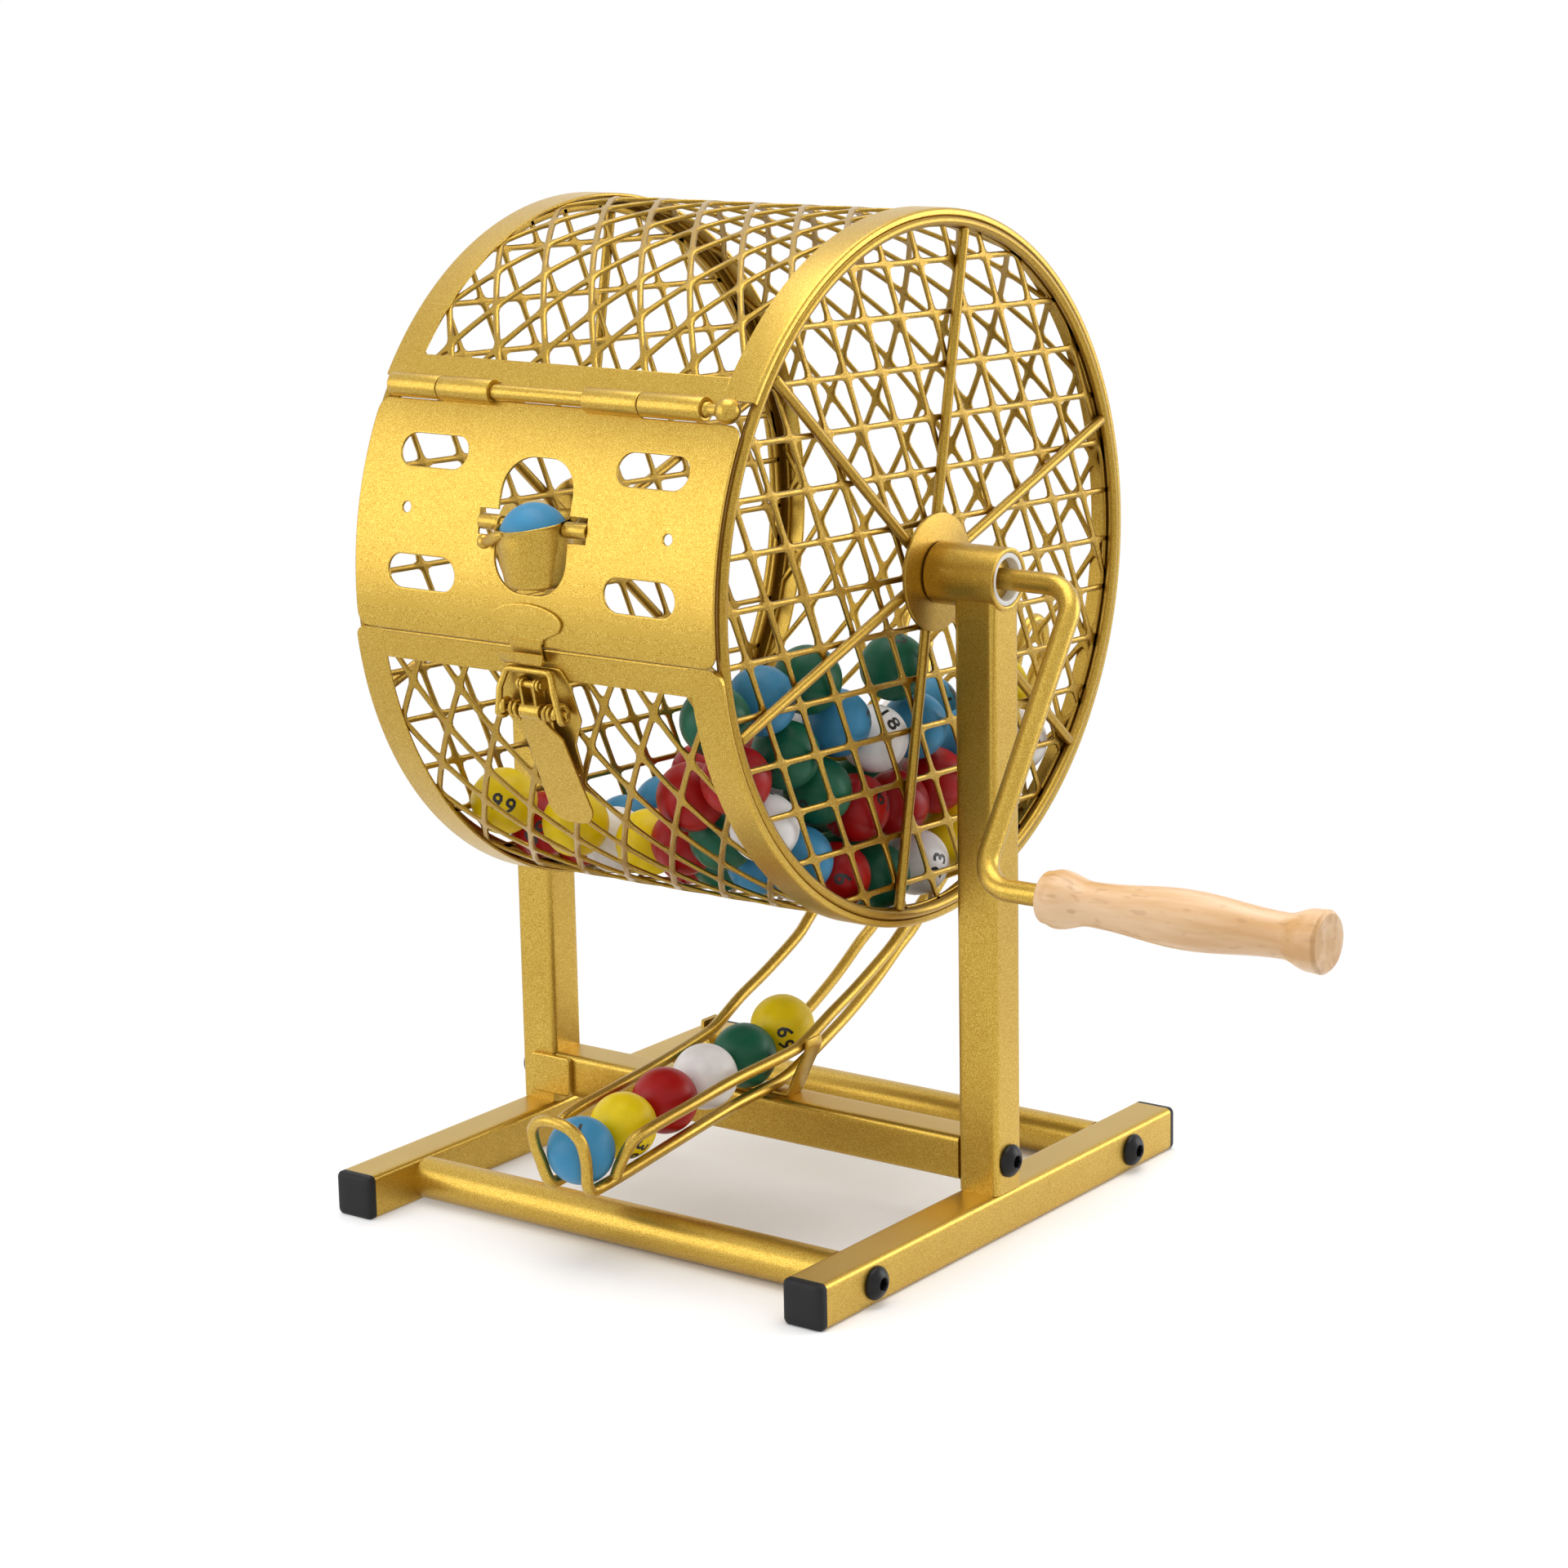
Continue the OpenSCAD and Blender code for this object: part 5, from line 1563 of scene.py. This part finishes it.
@dataclass
class Latch:
    """The strike on the door, and the lever, springs and bail that pull it shut."""

    lever_t: float = 101.5
    lever_r: float = 118.0
    bail_t: float = 105.6
    bail_r: float = 119.0
    pin_r: float = 1.2
    lug_r: float = 2.0
    fit: float = 0.05
    strike_t: float = 93.0
    strike_head: Flat = (14.0, 5.6)
    # The hook: angle, radius and half width of each point
    hook: tuple[tuple[float, float, float], ...] = (
        (94.9, 115.2, 6.2), (96.0, 115.2, 6.2), (97.2, 115.2, 6.3), (98.0, 115.25, 6.8), (98.3, 115.8, 7.1),
        (98.4, 116.6, 7.3), (98.35, 117.5, 7.5), (98.05, 118.1, 8.0), (97.4, 118.2, 8.8), (96.6, 118.2, 9.0),
    )
    hook_x: float = -1.0
    hook_sheet: float = 0.8
    strap_t: tuple[float, float, float] = (99.0, 110.0, 123.5)
    strap_half: tuple[Flat, ...] = ((10.5, -24), (13.5, -16.5), (15, -5), (10, 4), (9, 16))
    lever_middle: float = 115.3
    lever_half: float = 22.8
    lever_end: float = 6.5
    lever_wide: float = 8.5
    neck: float = 3.9
    roll_r: float = 2.6
    # The bail's right half, from its bar to its eye: angle, radius and X
    bail: tuple[tuple[float, float, float], ...] = (
        (99.45, 117.0, 3), (99.45, 117.0, 6.4), (99.6, 117.05, 8.1), (100.1, 117.2, 8.9), (100.8, 117.7, 9.5),
        (102.6, 119.3, 10.9),
    )
    bail_wire: float = 1.1
    bail_x: float = 12.5
    eye_r: float = 2.5
    eye_lead: float = 2.35
    spring_wire: float = 0.65
    spring_x: float = 4.75
    spring_l: float = 3.5
    spring_r: float = 2.2

    def build(self, shop: Workshop) -> None:
        """Builds and dresses the latch."""
        self.strike(shop)
        self.base(shop)
        self.lever(shop)
        self.wires(shop)

    def cheek(self, s: float, r: float, h: float) -> Vector:
        """Puts a flat point of a lug or ear, s along the drum from the lever's pin, in its place at x = h."""
        return polar(self.lever_t + math.degrees(s / self.lever_r), r, h)

    def strike(self, shop: Workshop) -> None:
        """Builds the strike: a round-headed plate whose neck folds into a hook."""
        wide, high = self.strike_head
        turns = [math.radians(a) for a in range(0, 181, 12)]
        head = [(wide * math.cos(a) - 0.5, high * math.sin(a) + 1.8) for a in turns]
        sides = [(-13.2, -0.6), (-6.7, -3.6), (-6.7, -5.0), (5.7, -5.0), (5.7, -3.6), (12.2, -0.6)]
        loop = Door.divided(softened(head + sides, 1.2, 3), 2.0)
        shape = Shape().plate([loop], 1.0, 2.0, unrolled(DRUM_R - 1, self.strike_t, -1), 0.3, 2.0)
        path = [polar(t, r, self.hook_x) for t, r, _ in self.hook]
        shape.ribbon(path, [half for _, _, half in self.hook], self.hook_sheet)
        shop.piece("door_strike", shape, Finish.GOLD, "door", ["latch_strike"])

    def base(self, shop: Workshop) -> None:
        """Builds the strap on the drum with the lever's two lugs."""
        start, middle, end = self.strap_t
        right = [(LATCH_X + x, s) for x, s in self.strap_half]
        loop = right + [(2 * LATCH_X - x, s) for x, s in right[::-1]]
        loop = [(x, min(max(s, (start - middle) * DEGREE), (end - middle) * DEGREE)) for x, s in loop]
        outline = Door.divided(softened(loop, 3.0, 4), 2.5)
        shape = Shape().plate([outline], 0.02, 0.8, unrolled(DRUM_R, middle), 0.25, 3.0)
        root, r = DRUM_R + 0.4, self.lug_r
        lug = [(-r, root), *arc((0, self.lever_r), r, 180, 0, 12), (r, root)]
        bore = arc((0, self.lever_r), self.pin_r + self.fit, 0, 340, 17)
        for side in (-1, 1):
            a, b = sorted((LATCH_X + side * 3.3, LATCH_X + side * 4.3))
            shape.plate([lug, bore], a, b, self.cheek, 0.2)
        shop.piece("latch_strap", shape, Finish.GOLD, "drum", ["latch_base"])

    def lever(self, shop: Workshop) -> None:
        """Builds the lever plate with its rolled end and ears, and the two pins."""
        half, end_r, wide, neck = self.lever_half, self.lever_end, self.lever_wide, self.neck
        turn = on_axle() @ Matrix.Rotation(math.radians(self.lever_middle), 4, "X")
        loop = (
            [(neck, 3 - half), (neck, 6.5 - half), (8.3, 12.5 - half)]
            + arc((1 + wide - end_r, half - end_r), end_r, 0, 90, 8)
            + arc((1 - wide + end_r, half - end_r), end_r, 90, 180, 8)
            + [(-6.3, 12.5 - half), (-neck, 6.5 - half), (-neck, 3 - half)]
        )
        loop = [(LATCH_X + x, -s) for x, s in softened(loop, 0.9, 3)]
        outline = Door.divided(loop, 2.0)
        shape = Shape().plate([outline], 117.0, 118.0, lambda x, y, h: turn @ Vector((x, y, h)), 0.3, 2.5)
        place = Matrix.Translation(polar(self.bail_t, self.bail_r, LATCH_X))
        shape.lathe(rounded_box(-neck, neck, self.pin_r, self.roll_r, 0.25, 3), turns=32, place=place)
        ear = [*arc((0, self.lever_r), self.lug_r, 90, 270, 12), (8.5, 116.0), (8.5, 120.4)]
        for side in (-1, 1):
            a, b = sorted((LATCH_X + side * 2.0, LATCH_X + side * 3.0))
            shape.plate([ear], a, b, self.cheek, 0.2)
        shop.piece("latch_handle", shape, Finish.GOLD, "lever", ["latch_lever"])
        pins = Shape()
        for t, r, x in ((self.lever_t, self.lever_r, 4.8), (self.bail_t, self.bail_r, 13.9)):
            profile = [(-x, 0.0), (-x, 0.9), (0.3 - x, self.pin_r), (x - 0.3, self.pin_r), (x, 0.9), (x, 0.0)]
            pins.lathe(profile, closed=False, turns=24, place=Matrix.Translation(polar(t, r, LATCH_X)))
        shop.piece("latch_rivets", pins, Finish.GOLD, "lever", ["latch_pins"])

    def coil(
        self, start: float, end: float, r: float, turns: float, way: int, lead: float = 0.0
    ) -> list[Vector]:
        """Returns points of wire turns round the bail's pin.

        Args:
            start: how far right of the latch's middle the wire starts.
            end: how far right it ends.
            r: radius of the turns.
            turns: how many there are.
            way: 1 or -1 for the direction of the turns.
            lead: the angle at which the wire starts, in degrees.

        Returns:
            The points.
        """
        n = int(16 * turns)
        t = math.radians(self.bail_t)
        outward, along = Vector((0, -math.sin(t), math.cos(t))), Vector((0, -math.cos(t), -math.sin(t)))
        out = []
        for i in range(n + 1):
            a = math.radians(lead) + way * 2 * math.pi * turns * i / n
            middle = polar(self.bail_t, self.bail_r, LATCH_X + start + (end - start) * i / n)
            out.append(middle + (outward * math.cos(a) + along * math.sin(a)) * r)
        return out

    def wires(self, shop: Workshop) -> None:
        """Builds the bail and the two springs beside the lever."""
        half = [polar(t, r, x) for t, r, x in self.bail]
        bar = smooth(mirrored(half[::-1]) + half, 4)[1:-1]
        far, near, r = self.bail_x, self.bail_x - self.eye_lead, self.eye_r
        path = self.coil(-near, -far, r, 1, -1)[:-1] + bar + self.coil(far, near, r, 1, 1)[1:]
        shop.piece("wire_bail", Shape().sweep(path, self.bail_wire, 12), Finish.GOLD, "bail", ["latch_bail"])
        start, end, r = self.spring_x, self.spring_x + self.spring_l, self.spring_wire
        path = [polar(self.bail_t + 3.6, self.bail_r - 1.35, LATCH_X + start)]
        path += self.coil(start, end, self.spring_r, 2, -1, 180)
        path += [polar(self.bail_t + 2.4, self.bail_r - 1.9, LATCH_X + end)]
        springs = Shape().sweep(path, r, 10).sweep(mirrored(path, LATCH_X), r, 10)
        shop.piece("coil_springs", springs, Finish.GOLD, "lever", ["latch_springs"])


@dataclass
class Balls:
    """All the balls and their numbers."""

    r: float = 11.0
    seam: float = 0.05
    seed: int = 7
    count: int = 75
    hues: tuple[tuple[str, Finish], ...] = (
        ("blue", Finish.BLUE), ("yellow", Finish.YELLOW), ("red", Finish.RED), ("white", Finish.WHITE),
        ("green", Finish.GREEN),
    )
    print_h: float = 7.8
    print_bold: float = 0.16
    print_step: float = 0.6
    print_out: float = 0.07
    # The numbers off the drum: body, node, which of its balls from the front, the direction in which the print
    # lies, the direction of the number's top, and the number
    laid: tuple[tuple[str, str, int, Spot, Spot, str], ...] = (
        ("stand", "blue_tray_ball", 0, (0.1, -0.5, 0.86), (0.9, 0.3, 0.1), "7"),
        ("stand", "red_tray_ball", 0, (-0.5, 0.5, -0.7), (0, 0, 1), "31"),
        ("stand", "green_tray_ball", 0, (0.93, -0.1, -0.1), (0.1, 0.9, 0.4), "14"),
        ("stand", "white_tray_ball", 0, (-0.6, 0.4, -0.7), (0, 0, 1), "52"),
        ("stand", "yellow_tray_balls", 0, (0.75, -0.35, -0.55), (0.2, 0.7, -0.6), "39"),
        ("stand", "yellow_tray_balls", 1, (0.64, -0.74, -0.1), (0.6, 0.75, 0.1), "69"),
        ("cup", "cup_ball", 0, (-0.3, 0.9, -0.3), (0, 0, 1), "25"),
    )
    digits: dict[str, Shape] = field(default_factory=dict)

    def ball(self) -> Shape:
        """Builds one ball with its fine moulding seam round the middle."""
        steps = 32
        profile = []
        for k in range(steps + 1):
            a = math.radians(180 * k / steps - 90)
            r = self.r + (self.seam if k == steps / 2 else 0.0)
            profile.append((r * math.sin(a), r * math.cos(a)))
        return Shape().lathe(profile, closed=False, turns=48)

    def centres(self, node: str, place: Matrix) -> list[Vector]:
        """Returns the balls' centres of a CAD node.

        Args:
            node: the node, whose every loose part is one ball.
            place: takes the stand's frame in millimetres to the row frame.

        Returns:
            The centres, in millimetres in the stand's frame.
        """
        work = bmesh.new()
        work.from_mesh(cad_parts[node].data)
        bmesh.ops.remove_doubles(work, verts=work.verts, dist=1e-5)
        left = set(work.verts)
        out = []
        while left:
            stack = [left.pop()]
            island = []
            while stack:
                v = stack.pop()
                island.append(v.co.copy())
                for edge in v.link_edges:
                    other = edge.other_vert(v)
                    if other in left:
                        left.remove(other)
                        stack.append(other)
            low, high = (Vector(pick(p[i] for p in island) for i in range(3)) for pick in (min, max))
            out.append(place.inverted() @ ((low + high) / 2))
        work.free()
        return sorted(out, key=lambda p: (round(p.x, 1), round(p.y, 1), round(p.z, 1)))

    def build(self, shop: Workshop, copies: Copies) -> None:
        """Builds and dresses the balls of the drum, the tray and the cup."""
        chance = random.Random(self.seed)
        ball = self.ball()
        groups = [("drum", f"{name}_drum_balls", finish) for name, finish in self.hues]
        groups += [("stand", f"{name}_tray_balls" if name == "yellow" else f"{name}_tray_ball", finish)
                   for name, finish in self.hues]
        groups += [("cup", "cup_ball", Finish.BLUE)]
        numbers = list(range(1, self.count + 1))
        chance.shuffle(numbers)
        prints = {body: Shape() for body in ("drum", "stand", "cup")}
        middles = {}
        for body, node, finish in groups:
            middles[node] = self.centres(node, shop.place)
            places = []
            for p in middles[node]:
                places.append((p, Euler(tuple(chance.uniform(0, 2 * math.pi) for _ in range(3)))))
                way = Vector(tuple(chance.gauss(0, 1) for _ in range(3))).normalized()
                up = Matrix.Rotation(chance.uniform(0, 6.283), 3, way) @ way.orthogonal().normalized()
                text = str(numbers.pop())
                if body == "drum":
                    self.stamp(prints[body], p, way, up, text)
            mesh = copies.make(shop, ball, places, finish)
            shop.piece("numbered_" + node, mesh, finish, body, [node])
        for body, node, index, way, up, text in self.laid:
            middle = sorted(middles[node], key=lambda p: p.y)[index]
            self.stamp(prints[body], middle, Vector(way), Vector(up), text)
        for body, shape in prints.items():
            shop.piece(f"{body}_ball_numbers", shape, Finish.INK, body)

    def digit(self, text: str) -> Shape:
        """Returns one digit, flat, cut into pieces of about a millimetre."""
        if text not in self.digits:
            curve = bpy.data.curves.new("digit", "FONT")
            curve.body = text
            curve.size = self.print_h
            curve.align_x = "CENTER"
            curve.align_y = "CENTER"
            curve.offset = self.print_bold
            curve.resolution_u = 2
            obj = bpy.data.objects.new("digit", curve)
            bpy.context.scene.collection.objects.link(obj)
            mesh = bpy.data.meshes.new_from_object(obj.evaluated_get(bpy.context.evaluated_depsgraph_get()))
            bpy.data.objects.remove(obj)
            work = bmesh.new()
            work.from_mesh(mesh)
            for axis in (Vector((1, 0, 0)), Vector((0, 1, 0))):
                for k in range(-6, 7):
                    geom = [*work.verts, *work.edges, *work.faces]
                    bmesh.ops.bisect_plane(work, geom=geom, plane_co=axis * k, plane_no=axis, dist=1e-5)
            bmesh.ops.triangulate(work, faces=work.faces)
            work.verts.index_update()
            faces = [tuple(v.index for v in f.verts) for f in work.faces]
            self.digits[text] = Shape().add([v.co.copy() for v in work.verts], faces)
            work.free()
            bpy.data.meshes.remove(mesh)
        return self.digits[text]

    def stamp(self, shape: Shape, middle: Vector, way: Vector, up: Vector, text: str) -> None:
        """Prints a number on a ball.

        Args:
            shape: what the print is added to.
            middle: the ball's centre.
            way: the direction in which the print lies.
            up: the direction of the number's top.
            text: the number.
        """
        way = way.normalized()
        up = (up - way * up.dot(way)).normalized()
        right = up.cross(way)
        for i, letter in enumerate(text):
            digit = self.digit(letter)
            shift = (i - (len(text) - 1) / 2) * self.print_h * self.print_step
            points = []
            for p in digit.points:
                a, b = (p.x + shift) / self.r, p.y / self.r
                spread = math.hypot(a, b)
                k = math.sin(spread) / spread if spread > 1e-6 else 1.0
                out = way * math.cos(spread) + (right * a + up * b) * k
                points.append(middle + out * (self.r + self.print_out))
            shape.add(points, digit.faces)


@dataclass(frozen=True)
class Studio:
    """Floor, light and camera."""

    azimuth: float = 36.366
    elevation: float = 13.327
    roll: float = -1.093
    lens_px: float = 4799.25
    frame_px: float = 1920.0
    sensor_mm: float = 36.0
    spot: Spot = (759.41, -1015.55, 438.86)
    # Each lamp: its name, its place in metres, its size in metres and its power in watts
    lamps: tuple[tuple[str, Spot, float, float], ...] = (
        ("key", (-1.03, -1.38, 0.5), 1.4, 10.0), ("side", (1.15, 1.35, 0.55), 1.0, 11.0),
        ("top", (-0.1, 0.1, 1.8), 1.5, 20.0),
    )
    aim: Spot = (-0.05, 0.0, 0.15)
    fill: float = 0.9
    floor_half: float = 30.0
    paper: tuple[Colour, Colour] = ((0.95, 0.94, 0.94), (0.97, 0.97, 0.975))
    paper_grain: float = 400.0
    # Distances from the object's middle, in metres, between which the floor's shadow fades into plain white
    shadow_fade: Flat = (0.12, 0.34)
    bounce: float = 0.5

    def camera(self, shop: Workshop) -> None:
        """Sets the camera where the photograph was taken."""
        az, el, roll = (math.radians(v) for v in (self.azimuth, self.elevation, self.roll))
        back = Vector((math.sin(az) * math.cos(el), -math.cos(az) * math.cos(el), math.sin(el)))
        right = Vector((math.cos(az), math.sin(az), 0))
        up = back.cross(right)
        x = right * math.cos(roll) + up * math.sin(roll)
        y = -right * math.sin(roll) + up * math.cos(roll)
        data = bpy.data.cameras.new("camera")
        data.sensor_fit = "HORIZONTAL"
        data.sensor_width = self.sensor_mm
        data.lens = self.sensor_mm * self.lens_px / self.frame_px
        data.clip_start = 0.05
        obj = bpy.data.objects.new("camera", data)
        turn = Matrix((x, y, back)).transposed().to_4x4()
        obj.matrix_world = Matrix.Translation(shop.place @ Vector(self.spot)) @ turn
        bpy.context.scene.collection.objects.link(obj)
        bpy.context.scene.camera = obj

    def lamp(self, name: str, spot: Vector, size: float, power: float) -> None:
        """Adds a square soft lamp that faces the object."""
        data = bpy.data.lights.new(name, "AREA")
        data.shape = "SQUARE"
        data.size = size
        data.energy = power
        obj = bpy.data.objects.new(name, data)
        turn = (spot - Vector(self.aim)).to_track_quat("Z", "Y").to_matrix().to_4x4()
        obj.matrix_world = Matrix.Translation(spot) @ turn
        bpy.context.scene.collection.objects.link(obj)

    def light(self) -> None:
        """Sets the lamps and a world that is white to the eye and to reflections."""
        for name, spot, size, power in self.lamps:
            self.lamp(name, Vector(spot), size, power)
        world = bpy.data.worlds.new("studio")
        bpy.context.scene.world = world
        world.use_nodes = True
        w = Wires(world.node_tree)
        w.tree.nodes.clear()
        soft = w.value("ShaderNodeBackground", Color=WHITE, Strength=self.fill)
        white = w.value("ShaderNodeBackground", Color=WHITE, Strength=1.0)
        both = w.value("ShaderNodeMixShader", _0=self.seen(w), _1=soft, _2=white)
        w.node("ShaderNodeOutputWorld", None, Surface=both)

    @staticmethod
    def seen(w: Wires) -> Value:
        """Returns 1 for rays of the camera, of gloss and of clear stuff."""
        path = w.node("ShaderNodeLightPath")
        camera, gloss, clear = (Value(w, path.outputs[k]) for k in
                                ("Is Camera Ray", "Is Glossy Ray", "Is Transmission Ray"))
        return (camera + gloss + clear).least(1.0)

    def floor(self) -> None:
        """Lays the floor, which takes the object's shadow near it and fades into plain white."""
        mesh = bpy.data.meshes.new("floor")
        s = self.floor_half
        mesh.from_pydata([(-s, -s, 0), (s, -s, 0), (s, s, 0), (-s, s, 0)], [], [(0, 1, 2, 3)])
        f = Surface("floor")
        colour = f.mix(f.noise(self.paper_grain, 1.0), *self.paper)
        away = f.value("ShaderNodeVectorMath", {"operation": "LENGTH"}, "Value", _0=f.place)
        near, far = self.shadow_fade
        paper = f.value("ShaderNodeBsdfPrincipled", Base_Color=colour, Roughness=0.6, Specular_IOR_Level=0.2)
        white = f.value("ShaderNodeEmission", Color=WHITE, Strength=self.seen(f).most(self.bounce))
        fade = f.ramp(away, (near, BLACK), (far, WHITE))
        both = f.value("ShaderNodeMixShader", _0=fade, _1=paper, _2=white)
        f.node("ShaderNodeOutputMaterial", None, Surface=both)
        mesh.materials.append(f.material)
        obj = bpy.data.objects.new("floor", mesh)
        bpy.context.scene.collection.objects.link(obj)

    def build(self, shop: Workshop) -> None:
        """Sets up the whole studio."""
        bpy.context.scene.view_settings.view_transform = "Standard"
        self.camera(shop)
        self.light()
        self.floor()


def main() -> None:
    """Builds the object in order, then the studio."""
    logging.basicConfig(level=logging.INFO, format="%(message)s")
    shop = Workshop()
    copies = Copies()
    Stand().build(shop, copies)
    Bearings().build(shop)
    Chute().build(shop)
    DrumFrame().build(shop, copies)
    DrumMesh().build(shop)
    Crank().build(shop)
    Door().build(shop)
    Cup().build(shop)
    Latch().build(shop)
    Balls().build(shop, copies)
    Studio().build(shop)


if __name__ == "__main__":
    main()
